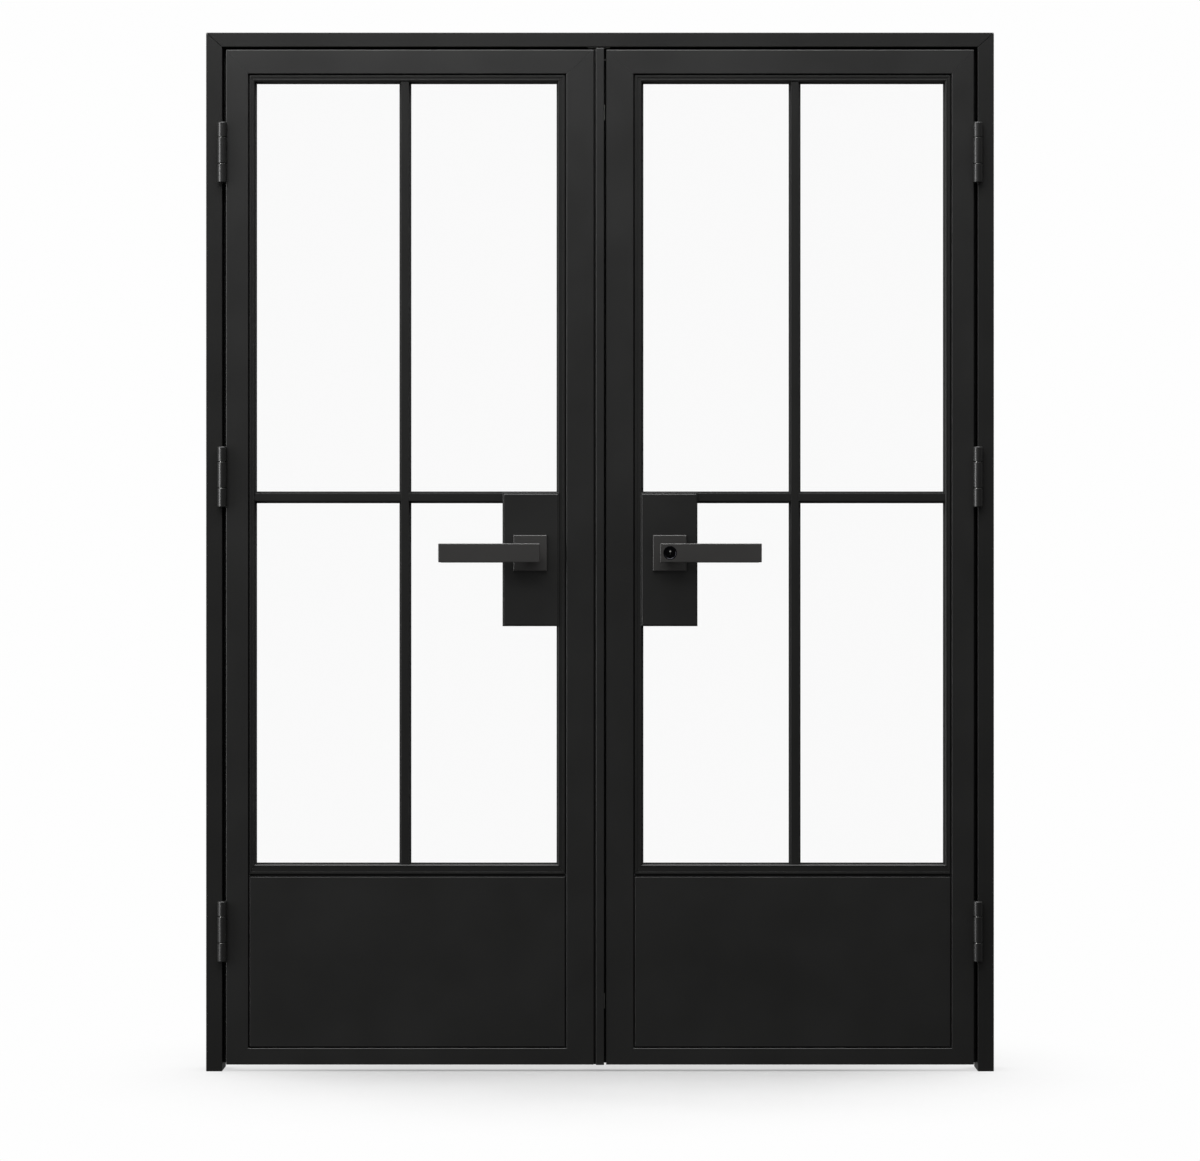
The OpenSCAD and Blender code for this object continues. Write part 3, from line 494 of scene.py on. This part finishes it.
# %% Stiles and rails of the left leaf
stile_in, meet_in = stile_hi[0], meet_lo[0]
leaf_left, leaf_right = stile_lo[0], meet_hi[0]
leaf_foot, leaf_top = stile_lo[2], stile_hi[2]
mid_x = (leaf_left + leaf_right) / 2
rail_under, rail_over = top_lo[2], foot_hi[2]
rail_h = rail_over - leaf_foot
corners = {
    "top_left": ((leaf_left, leaf_top), (stile_in, rail_under)),
    "top_right": ((leaf_right, leaf_top), (meet_in, rail_under)),
    "foot_left": ((stile_in - rail_h, leaf_foot), (stile_in, rail_over)),
    "foot_right": ((meet_in + rail_h, leaf_foot), (meet_in, rail_over))}

bars = (("hinge_stile", stile_lo, stile_hi, ("top_left", "foot_left"), (leaf_left, 1)),
        ("meeting_stile", meet_lo, meet_hi, ("top_right", "foot_right"), (leaf_right, 1)),
        ("top_rail", top_lo, top_hi, ("top_left", "top_right"), (mid_x, leaf_top)),
        ("bottom_rail", foot_lo, foot_hi, ("foot_left", "foot_right"), (mid_x, leaf_foot)))
leaf_bars = {}
for name, lo, hi, mitres, keep in bars:
    leaf_bars[name] = soften(block(name + "_left", lo, hi), ARRIS)
    for corner in mitres:
        mitre(leaf_bars[name], *corners[corner], keep)
print("leaf bars:", {name: len(bar.data.polygons) for name, bar in leaf_bars.items()})

# %% [markdown]
# The right leaf is the left one turned over. Its meeting stile is also cut for the latch.

# %% Both leaves' bars
latch_lo, latch_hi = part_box("latch_case")
LATCH_HALF_Y = 6 * MM
LATCH_LOW, LATCH_HIGH = 1014 * MM, 1038.5 * MM
for name, bar in leaf_bars.items():
    twin = mirror_copy(bar, name + "_right", "x")
    if name == "meeting_stile":
        drill(twin, block("latch_cut", (latch_lo[0] - 5 * MM, -LATCH_HALF_Y, LATCH_LOW),
                          (latch_hi[0] - 2 * MM, LATCH_HALF_Y, LATCH_HIGH)))
    place_piece(bar, "left_leaf", "black_coat", "left_" + name)
    place_piece(twin, "right_leaf", "black_coat", "right_" + name)

# %% [markdown]
# ## Glazing beads
# The glass sits between an outer and an inner ring of beads. Each bead is a bar with a foot that
# fills the floor of the groove beside the stile, a shallow channel along its face, and a chamfer
# towards the glass. A bead starts as a box for its face, its side is scored, the foot is extruded
# from that strip, the channel is pushed in, and the ends are mitred.

# %% Bead sizes
bead_lo, bead_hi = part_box("left_glazing_beads")
muntin_lo, muntin_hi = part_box("left_vertical_muntin")
kick_lo, kick_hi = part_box("left_kick_panels")
rail_mid_lo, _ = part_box("left_mid_rail")
GROOVE = 3 * MM
FOOT_Y = -12 * MM
BACK_Y = -6 * MM
FACE_Y = bead_lo[1]
SHOULDER_Y = rail_mid_lo[1]
CHAMFER = 2.2 * MM
BEAD_FLAT = 4 * MM
BEAD_LIP = 1.3 * MM
CHANNEL = 0.9 * MM
BEAD_WELD = 0.12 * MM
widths = {"left": 10 * MM, "right": 14 * MM, "top": 12.3 * MM, "bottom": 18.5 * MM}
ring = {"left": bead_lo[0], "right": bead_hi[0], "bottom": bead_lo[2], "top": bead_hi[2]}
inner = {side: ring[side] + (GROOVE + widths[side]) * (1 if side in ("left", "bottom") else -1)
         for side in ring}
print("sight opening: %.1f by %.1f mm" % ((inner["right"] - inner["left"]) / MM,
                                          (inner["top"] - inner["bottom"]) / MM))

# %% One bead


def bead(side):
    """One bar of the outer ring, drawn in place."""
    upright = side in ("left", "right")
    sign = 1 if side in ("left", "bottom") else -1
    k = 0 if upright else 2
    face_from = ring[side] + sign * GROOVE
    lo = [ring["left"], FACE_Y, ring["bottom"]]
    hi = [ring["right"], BACK_Y, ring["top"]]
    lo[k], hi[k] = sorted((face_from, inner[side]))
    if side == "bottom":
        hi[1] = SHOULDER_Y
    bar = block("bead_" + side, lo, hi)
    score(bar, (0, FOOT_Y, 0), (0, 1, 0))
    outward = -sign
    pick_faces(bar, lambda c, n: n[k] * outward > 0.99 and c.y > FOOT_Y)
    step = [0, 0, 0]
    step[k] = outward * GROOVE
    extrude(step)
    pick_edges(bar, lambda a, b: near(a[k], inner[side]) and near(b[k], inner[side])
               and near(a.y, FACE_Y) and near(b.y, FACE_Y))
    bpy.ops.mesh.bevel(offset=CHAMFER, segments=1)
    bpy.ops.object.mode_set(mode="OBJECT")
    near_edge = face_from + sign * BEAD_FLAT
    far_edge = inner[side] - sign * (CHAMFER + BEAD_LIP)
    for at in (near_edge, far_edge):
        point, across = [0, 0, 0], [0, 0, 0]
        point[k], across[k] = at, 1
        score(bar, point, across)
    pick_faces(bar, lambda c, n: n.y < -0.99 and near(c.y, FACE_Y)
               and min(near_edge, far_edge) < c[k] < max(near_edge, far_edge))
    extrude((0, CHANNEL, 0))
    return bar


def bead_corner(side, other):
    """The two ends of a corner's mitre line, as x and z."""
    if side in ("top", "bottom"):
        side, other = other, side
    return (ring[side], ring[other]), (inner[side], inner[other])


centre = ((ring["left"] + ring["right"]) / 2, (ring["bottom"] + ring["top"]) / 2)
ends = {"left": ("bottom", "top"), "right": ("bottom", "top"),
        "bottom": ("left", "right"), "top": ("left", "right")}
keeps = {"left": (ring["left"], centre[1]), "right": (ring["right"], centre[1]),
         "bottom": (centre[0], ring["bottom"]), "top": (centre[0], ring["top"])}
bars = []
for side in ends:
    bar = bead(side)
    for other in ends[side]:
        mitre(bar, *bead_corner(side, other), keeps[side], BEAD_WELD)
    bars.append(soften(bar, 0.25 * MM, 2))
outer_ring = join("beads_outer", bars)
inner_ring = mirror_copy(outer_ring, "beads_inner", "y")
beads = join("beads_left", [outer_ring, inner_ring])
beads_right = mirror_copy(beads, "beads_right", "x")
place_piece(beads, "left_leaf", "black_coat", "left_glazing_beads")
place_piece(beads_right, "right_leaf", "black_coat", "right_glazing_beads")
for piece in (beads, beads_right):
    piece.data.materials[0] = flat_coat
print("beads:", len(beads.data.polygons), "faces a leaf")

# %% [markdown]
# ## Muntins
# The muntins are bars with a waist that the panes and their gaskets fit into. The upright one runs
# the full height and the crosswise ones butt against it, the inner one ending at the lock box.

# %% Muntins
MUNTIN_Y = muntin_lo[1]
WAIST = 5.1 * MM
BUTT = 0.1 * MM  # the fine line where a crosswise muntin is welded to the upright one


def muntin(name, lo, hi, across):
    """A bar with a groove along both sides for the glass. across is the axis its width lies on."""
    bar = block(name, lo, hi)
    for y in (BACK_Y, -BACK_Y):
        score(bar, (0, y, 0), (0, 1, 0))
    for s in (-1, 1):
        pick_faces(bar, lambda c, n: n[across] * s > 0.99 and abs(c.y) < -BACK_Y)
        step = [0, 0, 0]
        step[across] = -s * WAIST
        extrude(step)
    return soften(bar, 0.45 * MM)


cross_lo, cross_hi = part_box("left_horizontal_muntins")
upright = muntin("muntin_upright_left", (muntin_lo[0], MUNTIN_Y, inner["bottom"]),
                 (muntin_hi[0], -MUNTIN_Y, inner["top"]), 0)
plate_lo, plate_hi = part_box("left_lock_plates")
cross_parts = [
    muntin("muntin_hinge_side", (inner["left"], MUNTIN_Y, cross_lo[2]),
           (muntin_lo[0] - BUTT, -MUNTIN_Y, cross_hi[2]), 2),
    muntin("muntin_lock_side", (muntin_hi[0] + BUTT, MUNTIN_Y, cross_lo[2]),
           (plate_lo[0], -MUNTIN_Y, cross_hi[2]), 2)]
crosswise = join("muntins_crosswise_left", cross_parts)
for piece, node in ((upright, "vertical_muntin"), (crosswise, "horizontal_muntins")):
    twin = mirror_copy(piece, piece.name.replace("left", "right"), "x")
    place_piece(piece, "left_leaf", "black_coat", "left_" + node)
    place_piece(twin, "right_leaf", "black_coat", "right_" + node)
    piece.data.materials[0] = twin.data.materials[0] = flat_coat

# %% [markdown]
# ## Kick panels
# A kick panel is a sheet steel tray. Its rim is folded back and then out to the stiles, which
# leaves a shadow groove all round. The flange is drawn first, then the tray is raised from it.

# %% Kick panels
tray = block("kick_tray", (kick_lo[0], FOOT_Y, kick_lo[2]), (kick_hi[0], SHOULDER_Y, kick_hi[2]))
TRAY_SHEET = 2 * MM
TRAY_HOLLOW = 8 * MM
pick_faces(tray, lambda c, n: n.y < -0.99)
bpy.ops.mesh.inset(thickness=GROOVE, depth=0)
extrude((0, FACE_Y - FOOT_Y, 0))
pick_faces(tray, lambda c, n: n.y > 0.99)
bpy.ops.mesh.inset(thickness=GROOVE + TRAY_SHEET, depth=0)
extrude((0, -TRAY_HOLLOW, 0))
soften(tray, 0.8 * MM)
tray_back = mirror_copy(tray, "kick_tray_back", "y")
kick = join("kick_panels_left", [tray, tray_back])
kick_twin = mirror_copy(kick, "kick_panels_right", "x")
place_piece(kick, "left_leaf", "black_coat", "left_kick_panels")
place_piece(kick_twin, "right_leaf", "black_coat", "right_kick_panels")

# %% [markdown]
# ## Lock plates and roses
# The lock box is closed by a 3 mm plate on each side. Its edge is milled back to a low rim, so
# that a bright line runs a little inside the outline. The square rose has a broader bevel.

# %% Plates and roses
PLATE_T = 3 * MM
PLATE_RIM = 2.8 * MM
PLATE_STEP = 1.2 * MM
SPINDLE_HOLE_R = 9 * MM
plate = block("lock_plate", (plate_lo[0], plate_lo[1] + PLATE_STEP, plate_lo[2]),
              (plate_hi[0], plate_lo[1] + PLATE_T, plate_hi[2]))
pick_faces(plate, lambda c, n: n.y < -0.99)
bpy.ops.mesh.inset(thickness=PLATE_RIM, depth=0)
extrude((0, -PLATE_STEP, 0))
spindle_lo, spindle_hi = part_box("left_lever_spindle")
axis_x = (spindle_lo[0] + spindle_hi[0]) / 2
axis_z = (spindle_lo[2] + spindle_hi[2]) / 2
drill(plate, drum("spindle_hole", (axis_x, plate_lo[1] - 10 * MM, axis_z), 30 * MM,
                  SPINDLE_HOLE_R, "y", 48))
soften(plate, 0.6 * MM, 3)
rose_lo, rose_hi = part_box("left_roses")
rose = block("rose", rose_lo, (rose_hi[0], plate_lo[1], rose_hi[2]))
pick_faces(rose, lambda c, n: n.y < -0.99)
bpy.ops.mesh.bevel(offset=1.6 * MM, segments=4, affect="EDGES")
bpy.ops.object.mode_set(mode="OBJECT")
soften(rose, 0.5 * MM, 2)

for piece, node, slot in ((plate, "lock_plates", "black_coat"), (rose, "roses", "lever_coat")):
    both = join(node + "_left", [piece, mirror_copy(piece, "back", "y")])
    twin = mirror_copy(both, node + "_right", "x")
    place_piece(both, "left_leaf", slot, "left_" + node)
    place_piece(twin, "right_leaf", slot, "right_" + node)

# %% [markdown]
# ## Levers
# A lever is a flat bar on a round neck. The bar is drawn as a box, its edges eased, and the neck
# is drawn up to its back. The outside lever of the right leaf is bored for the key cylinder.

# %% Levers
LEVER_T = 12 * MM
NECK_R = 16 * MM


def lever(name, node):
    """A lever that reaches away from the leaf on the side where its solid lies."""
    lo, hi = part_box(node)
    outside = lo[1] < 0
    face = lo[1] if outside else hi[1]
    back = face + LEVER_T if outside else face - LEVER_T
    root = hi[1] if outside else lo[1]
    x = axis_x if hi[0] < 0 else -axis_x
    bar = block(name + "_bar", (lo[0], min(face, back), lo[2]), (hi[0], max(face, back), hi[2]))
    soften(bar, 1.6 * MM, 4)
    neck = drum(name + "_neck", (x, back, axis_z), root - back, NECK_R, "y")
    soften(neck, 0.6 * MM, 2)
    return join(name, [bar, neck])


def bore(piece, start_y, depth, radius, x):
    drill(piece, drum("bore", (x, start_y, axis_z), depth, radius, "y"))


levers = {"left_outside": lever("lever_outside_left", "left_outside_lever"),
          "left_inside": lever("lever_inside_left", "left_inside_lever"),
          "right_outside": lever("lever_outside_right", "right_outside_lever"),
          "right_inside": lever("lever_inside_right", "right_inside_lever")}
cylinder_lo, cylinder_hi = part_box("key_cylinder")
CYLINDER_R = (cylinder_hi[0] - cylinder_lo[0]) / 2
bore(levers["right_outside"], cylinder_lo[1] - 2 * MM, 10 * MM, CYLINDER_R + 0.25 * MM, -axis_x)
for key, piece in levers.items():
    place_piece(piece, key.split("_")[0] + "_lever", "lever_coat", key + "_lever")
print("levers:", {key: len(piece.data.polygons) for key, piece in levers.items()}, "faces")

# %% [markdown]
# ## Key cylinder and thumb turn
# The cylinder is a plated drum with a raised rim, and the plug turns in its middle. The keyway
# is a slot with eased lips. Above its middle, a small ring of bright zinc round a round hole
# paints the highlight that the lips catch.

# %% Key cylinder
cylinder = drum("cylinder_shell", (-axis_x, cylinder_lo[1], axis_z), 10 * MM, CYLINDER_R, "y", 96)
pick_faces(cylinder, lambda c, n: n.y < -0.99)
bpy.ops.mesh.inset(thickness=1.6 * MM, depth=0)
bpy.ops.mesh.inset(thickness=0.7 * MM, depth=-0.7 * MM)
bpy.ops.object.mode_set(mode="OBJECT")
plug_lo, plug_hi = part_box("key_plug")
PLUG_R = (plug_hi[0] - plug_lo[0]) / 2
bore(cylinder, cylinder_lo[1] - 2 * MM, 30 * MM, PLUG_R + 0.1 * MM, -axis_x)
soften(cylinder, 0.35 * MM, 2)
place_piece(cylinder, "right_lever", "black_cylinder", "key_cylinder")

plug = drum("plug", (-axis_x, plug_lo[1], axis_z), 14 * MM, PLUG_R, "y", 64)
KEYWAY_X, KEYWAY_Z, KEYWAY_DEEP = 1 * MM, 3 * MM, 9 * MM
drill(plug, block("keyway", (-axis_x - KEYWAY_X, plug_lo[1] - 1 * MM, axis_z - KEYWAY_Z),
                  (-axis_x + KEYWAY_X, plug_lo[1] + KEYWAY_DEEP, axis_z + KEYWAY_Z)))
soften(plug, 0.3 * MM, 2)
KEYHOLE_Z = axis_z + 3.6 * MM
KEYHOLE_R = 1.9 * MM
GLINT_RING_R = 1.85 * MM
drill(plug, drum("keyhole", (-axis_x, plug_lo[1] - 1 * MM, KEYHOLE_Z), 10 * MM, KEYHOLE_R, "y", 48))
# a ring of bright zinc whose pale colour paints the glint of the keyway's lips
glint_ring = drum("keyhole_painted_glint", (-axis_x, plug_lo[1], KEYHOLE_Z), 1.2 * MM, GLINT_RING_R, "y", 48)
pick_faces(glint_ring, lambda c, n: n.y < -0.99)
bpy.ops.mesh.inset(thickness=0.85 * MM, depth=-0.9 * MM)
bpy.ops.object.mode_set(mode="OBJECT")
place_piece(plug, "key_plug", "black_cylinder", "key_plug")
place_piece(glint_ring, "key_plug", "bare_steel")
print("key plug %.1f mm across in a cylinder of %.1f mm" % (2 * PLUG_R / MM, 2 * CYLINDER_R / MM))

# %% Thumb turn
_, turn_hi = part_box("thumb_turn")
TURN_REACH = 5.8 * MM
DISC_T, DISC_R = 1.5 * MM, 11 * MM
GRIP_X, GRIP_Z = 3 * MM, 9 * MM
turn_base = turn_hi[1] - TURN_REACH
disc = drum("turn_disc", (-axis_x, turn_base, axis_z), DISC_T, DISC_R, "y")
soften(disc, 0.4 * MM, 2)
grip = block("turn_grip", (-axis_x - GRIP_X, turn_base + DISC_T, axis_z - GRIP_Z),
             (-axis_x + GRIP_X, turn_hi[1], axis_z + GRIP_Z))
soften(grip, 1.2 * MM)
place_piece(join("turn", [disc, grip]), "thumb_turn", "lever_coat", "thumb_turn")

# %% [markdown]
# ## Hinges
# Each hinge is a barrel of three knuckles on a pin. The outer two belong to the jamb and the middle
# one to the leaf, and each is welded to a plate that lies in the gap. The barrel's ends are
# well rounded. At its seams the upper knuckle is rounded more than the lower one, so that each
# seam shows as a dark line.

# %% Hinge sizes
jamb_plate_lo, jamb_plate_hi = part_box("left_hinge_jamb_plates")
BARREL_R = 9.5 * MM
BARREL_LEN = 120 * MM
KNUCKLE_TOP = 30 * MM
KNUCKLE_BOTTOM = 37 * MM
SEAM = 1 * MM
pin_x = jamb_plate_lo[0] + BARREL_R
pin_y = jamb_plate_lo[1] + BARREL_R
MIDDLE_TOP = 1237 * MM
hinge_tops = [jamb_plate_hi[2], MIDDLE_TOP, jamb_plate_lo[2] + BARREL_LEN]
HINGE_FACE = -22 * MM
PLATE_END = jamb_plate_hi[1]
END_ROUND = 2.2 * MM
SEAM_ROUND_OVER = 0.35 * MM
SEAM_ROUND_UNDER = 1.3 * MM
ARM_FROM = 5.5 * MM
ARM_INTO = 0.2 * MM
ARM_SHORT = 2.5 * MM


def knuckle(z0, z1, over, under):
    """A knuckle, rounded by one radius at its top and another underneath."""
    body = drum("knuckle", (pin_x, pin_y, z0), z1 - z0, BARREL_R, "z", 64)
    for radius, side in ((over, 1), (under, -1)):
        pick_faces(body, lambda c, n: n.z * side > 0.99)
        bpy.ops.mesh.bevel(offset=radius, segments=4, affect="EDGES")
        bpy.ops.object.mode_set(mode="OBJECT")
    return body


def hinge_plate(x0, x1, z0):
    plate = block("plate", (x0, HINGE_FACE, z0), (x1, PLATE_END, z0 + BARREL_LEN))
    return soften(plate, 0.3 * MM, 1)


def knuckle_arm(x0, x1, z0, z1):
    """The web that joins a knuckle to its plate."""
    return block("arm", (x0, pin_y + ARM_FROM, z0 + ARM_SHORT),
                 (x1, HINGE_FACE + ARM_INTO, z1 - ARM_SHORT))


# %% Hinges, left then right
PLATE_X = 3 * MM
jamb_face_x = jamb_hi[0]
fixed, moving = [], []
for top in hinge_tops:
    z0 = top - BARREL_LEN
    fixed.append(hinge_plate(jamb_face_x, jamb_face_x + PLATE_X, z0))
    moving.append(hinge_plate(leaf_left - PLATE_X, leaf_left, z0))
    for a, b, over, under in ((z0, z0 + KNUCKLE_BOTTOM, SEAM_ROUND_OVER, END_ROUND),
                              (top - KNUCKLE_TOP, top, END_ROUND, SEAM_ROUND_UNDER)):
        fixed.append(knuckle(a, b, over, under))
        fixed.append(knuckle_arm(jamb_face_x, jamb_face_x + PLATE_X, a, b))
    a, b = z0 + KNUCKLE_BOTTOM + SEAM, top - KNUCKLE_TOP - SEAM
    moving.append(knuckle(a, b, SEAM_ROUND_OVER, SEAM_ROUND_UNDER))
    moving.append(knuckle_arm(leaf_left - PLATE_X, leaf_left, a, b))
jamb_hinges = join("hinges_jamb_left", fixed)
leaf_hinges = join("hinges_leaf_left", moving)
jamb_hinges_right = mirror_copy(jamb_hinges, "hinges_jamb_right", "x")
leaf_hinges_right = mirror_copy(leaf_hinges, "hinges_leaf_right", "x")
place_piece(jamb_hinges, "frame", "black_coat", "left_hinge_jamb_plates")
place_piece(jamb_hinges_right, "frame", "black_coat", "right_hinge_jamb_plates")
place_piece(leaf_hinges, "left_leaf", "black_coat", "left_hinge_leaf_plates")
place_piece(leaf_hinges_right, "right_leaf", "black_coat", "right_hinge_leaf_plates")
for piece in (jamb_hinges, jamb_hinges_right, leaf_hinges, leaf_hinges_right):
    piece.data.materials[0] = hinge_coat
print("hinges:", len(hinge_tops), "a side, tops at", ["%.0f" % (z / MM) for z in hinge_tops], "mm")

# %% [markdown]
# The pins run inside the knuckles, and only their washers show, as a dark line in each seam.

# %% Pins and washers
PIN_R, PIN_SHORT = 5 * MM, 3 * MM
WASHER_R, WASHER_PLAY = 5.6 * MM, 0.1 * MM
pins = []
for top in hinge_tops:
    z0 = top - BARREL_LEN
    pins.append(drum("pin", (pin_x, pin_y, z0 + PIN_SHORT), BARREL_LEN - 2 * PIN_SHORT, PIN_R,
                     "z", 32))
    for z in (z0 + KNUCKLE_BOTTOM, top - KNUCKLE_TOP - SEAM):
        pins.append(drum("washer", (pin_x, pin_y, z + WASHER_PLAY), SEAM - 2 * WASHER_PLAY,
                         WASHER_R, "z", 48))
pins_left = join("pins_left", pins)
pins_right = mirror_copy(pins_left, "pins_right_side", "x")
place_piece(join("pins", [pins_left, pins_right]), "frame", "bare_steel", "hinge_pins")

# %% [markdown]
# ## Astragal
# The astragal is a slim box welded to the left leaf's meeting edge. Its nose shows between the
# leaves as a bar with a dark groove on each side. Its ends are open for the flush bolts, and its
# right side is cut for the latch and for the two bolt slides.

# %% Astragal
astragal_lo, astragal_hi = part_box("astragal")
NOSE_HALF = astragal_hi[0]
WEB_Y = -12 * MM
BAR_HOLLOW = 170 * MM
bar = block("astragal_bar", (-NOSE_HALF, astragal_lo[1], astragal_lo[2]), astragal_hi)
score(bar, (0, WEB_Y, 0), (0, 1, 0))
pick_faces(bar, lambda c, n: n.x < -0.99 and c.y > WEB_Y)
extrude((astragal_lo[0] + NOSE_HALF, 0, 0))
soften(bar, 1.0 * MM)
for end in (1, -1):
    pick_faces(bar, lambda c, n: n.z * end > 0.99)
    bpy.ops.mesh.inset(thickness=TUBE_WALL, depth=0)
    extrude((0, 0, -end * BAR_HOLLOW))
POCKET_DEEP = 10 * MM
LATCH_POCKET = (axis_z - 10 * MM, axis_z + 10 * MM, 6 * MM)  # from z, to z, half its depth in y
SLIDE_HALF = 3.2 * MM
SLIDE_LEN = 30 * MM
BOLT_TRAVEL = 18 * MM
PLAY = 0.5 * MM
slots = [LATCH_POCKET]
for slide_z, travel in ((astragal_hi[2] - 140 * MM, BOLT_TRAVEL),
                        (astragal_lo[2] + 110 * MM, -BOLT_TRAVEL)):
    slots.append((slide_z + min(0, travel) - PLAY, slide_z + SLIDE_LEN + max(0, travel) + PLAY,
                  SLIDE_HALF))
for z0, z1, half in slots:
    drill(bar, block("slot", (NOSE_HALF - POCKET_DEEP, -half, z0), (NOSE_HALF + 2 * MM, half, z1)))
place_piece(bar, "left_leaf", "black_coat", "astragal")
print("astragal:", len(bar.data.polygons), "faces,", len(slots), "slots")

# %% [markdown]
# ## Studio
# A white floor runs back to a white background. The front of the room is kept darker than the
# sides and top, as satin black shows whatever stands in front of it. The main light comes
# from the upper left, in front.

# %% Camera
VIEW_WIDTH = 2.376  # in metres, at the stiles' face
DISTANCE = 10.0  # from that face
LOOK_HEIGHT = 0.972
camera_data = bpy.data.cameras.new("camera")
camera_data.sensor_width = 36
camera_data.sensor_fit = "HORIZONTAL"
camera_data.lens = 36 * DISTANCE / VIEW_WIDTH
camera_data.clip_end = 100
camera = bpy.data.objects.new("camera", camera_data)
camera.location = (0, stile_lo[1] - DISTANCE, LOOK_HEIGHT)
camera.rotation_euler = (math.pi / 2, 0, 0)
bpy.context.collection.objects.link(camera)
bpy.context.scene.camera = camera
print("lens %.1f mm" % camera_data.lens)

# %% Floor
WHITE = 0.99  # the level of the background, and of the floor where it runs into it
activate(None)
bpy.ops.mesh.primitive_plane_add(size=1, location=(0, 2.2, 0))
floor = bpy.context.object
floor.name = "studio_floor"
floor.scale = (12, 8, 1)
bpy.ops.object.transform_apply(location=True, rotation=True, scale=True)
material, tree = new_material("white_studio_floor")
place = add(tree, "ShaderNodeTexCoord").outputs["Object"]
mottle = add(tree, "ShaderNodeTexNoise", inputs={
    "Vector": place, "Scale": per_metre(400), "Detail": 2.0}).outputs["Fac"]
paint = add(tree, "ShaderNodeBsdfPrincipled", inputs={
    "Base Color": two_tones(tree, mottle, "#c6c6c6", "#cacaca"), "Roughness": 0.9,
    "Specular IOR Level": 0.1})
# The floor glows with painted light: its emission share grows with distance from the doors, from 30
# percent near them to full white about 1.15 m to the sides and 1.3 m in front and behind. This
# paints the soft shade round the doors' foot fading into the white.
spread = add(tree, "ShaderNodeMapping", inputs={"Vector": place, "Scale": (0.87, 0.77, 1)})
reach = add(tree, "ShaderNodeVectorMath", {"operation": "LENGTH"}, {0: spread.outputs["Vector"]})
glow_share = add(tree, "ShaderNodeMapRange", {"interpolation_type": "SMOOTHSTEP"}, {
    "Value": reach.outputs["Value"], "From Min": 0.3, "From Max": 1.0,
    "To Min": 0.3, "To Max": 1.0}).outputs["Result"]
floor_glow = add(tree, "ShaderNodeEmission", inputs={"Color": (1, 1, 1, 1), "Strength": WHITE})
mixed = add(tree, "ShaderNodeMixShader", inputs={"Fac": glow_share})
tree.links.new(paint.outputs["BSDF"], mixed.inputs[1])
tree.links.new(floor_glow.outputs["Emission"], mixed.inputs[2])
add(tree, "ShaderNodeOutputMaterial", inputs={"Surface": mixed.outputs["Shader"]})
floor.data.materials.append(material)
floor.visible_diffuse = False
floor.visible_glossy = False

# %% Room light
world = bpy.data.worlds.new("studio")
bpy.context.scene.world = world
world.use_nodes = True
world.node_tree.nodes.clear()
tree = world.node_tree
direction = add(tree, "ShaderNodeTexCoord").outputs["Generated"]
parts = add(tree, "ShaderNodeSeparateXYZ", inputs={"Vector": direction})
overhead = add(tree, "ShaderNodeMapRange", {"interpolation_type": "SMOOTHSTEP"}, {
    "Value": parts.outputs["Z"], "From Min": 0.05, "From Max": 0.95,
    "To Min": 0.12, "To Max": 2.0}).outputs["Result"]
leftward = add(tree, "ShaderNodeMapRange", {"interpolation_type": "SMOOTHSTEP"}, {
    "Value": parts.outputs["X"], "From Min": 0.2, "From Max": -1.0,
    "To Min": 0.0, "To Max": 0.3}).outputs["Result"]
backward = add(tree, "ShaderNodeMapRange", inputs={
    "Value": parts.outputs["Y"], "From Min": -0.6, "From Max": 0.6,
    "To Min": 0.7, "To Max": 1.3}).outputs["Result"]
overhead = add(tree, "ShaderNodeMath", {"operation": "MULTIPLY"}, {
    0: overhead, 1: backward}).outputs["Value"]
room = add(tree, "ShaderNodeMath", {"operation": "ADD"}, {
    0: overhead, 1: leftward}).outputs["Value"]
rays = add(tree, "ShaderNodeLightPath")
seen = add(tree, "ShaderNodeMath", {"operation": "MAXIMUM"}, {
    0: rays.outputs["Is Camera Ray"], 1: rays.outputs["Is Transmission Ray"]}).outputs["Value"]
level = add(tree, "ShaderNodeMix", {"data_type": "FLOAT"}, {
    "Factor": seen, "A": room, "B": WHITE}).outputs["Result"]
glow = add(tree, "ShaderNodeBackground", inputs={"Color": (1, 1, 1, 1), "Strength": level})
add(tree, "ShaderNodeOutputWorld", inputs={"Surface": glow.outputs["Background"]})


# %% Lamps
def lamp(name, place, target, size, watts, colour="#ffffff", edges_only=False):
    """An area light. One for edges only is seen in reflections and doesn't light matt surfaces."""
    data = bpy.data.lights.new(name, "AREA")
    data.energy = watts
    data.color = linear(colour)[:3]
    data.shape = "RECTANGLE"
    data.size, data.size_y = size
    lamp_object = bpy.data.objects.new(name, data)
    lamp_object.location = place
    aim = Vector(target) - Vector(place)
    lamp_object.rotation_euler = aim.to_track_quat("-Z", "Y").to_euler()
    lamp_object.visible_diffuse = not edges_only
    bpy.context.collection.objects.link(lamp_object)
    return lamp_object


lamp("key", (-0.8, -3.0, 3.5), (-0.2, 0, 1.6), (2.4, 0.8), 36)
lamp("top_edges", (0, -1.5, 4.5), (0, 0, 1.0), (4.0, 1.2), 220, edges_only=True)
lamp("left_edges", (-4.0, -2.1, 1.6), (-0.6, 0, 1.4), (1.8, 3.0), 150, edges_only=True)
bpy.context.scene.view_settings.view_transform = "Standard"
bpy.context.scene.view_settings.look = "None"
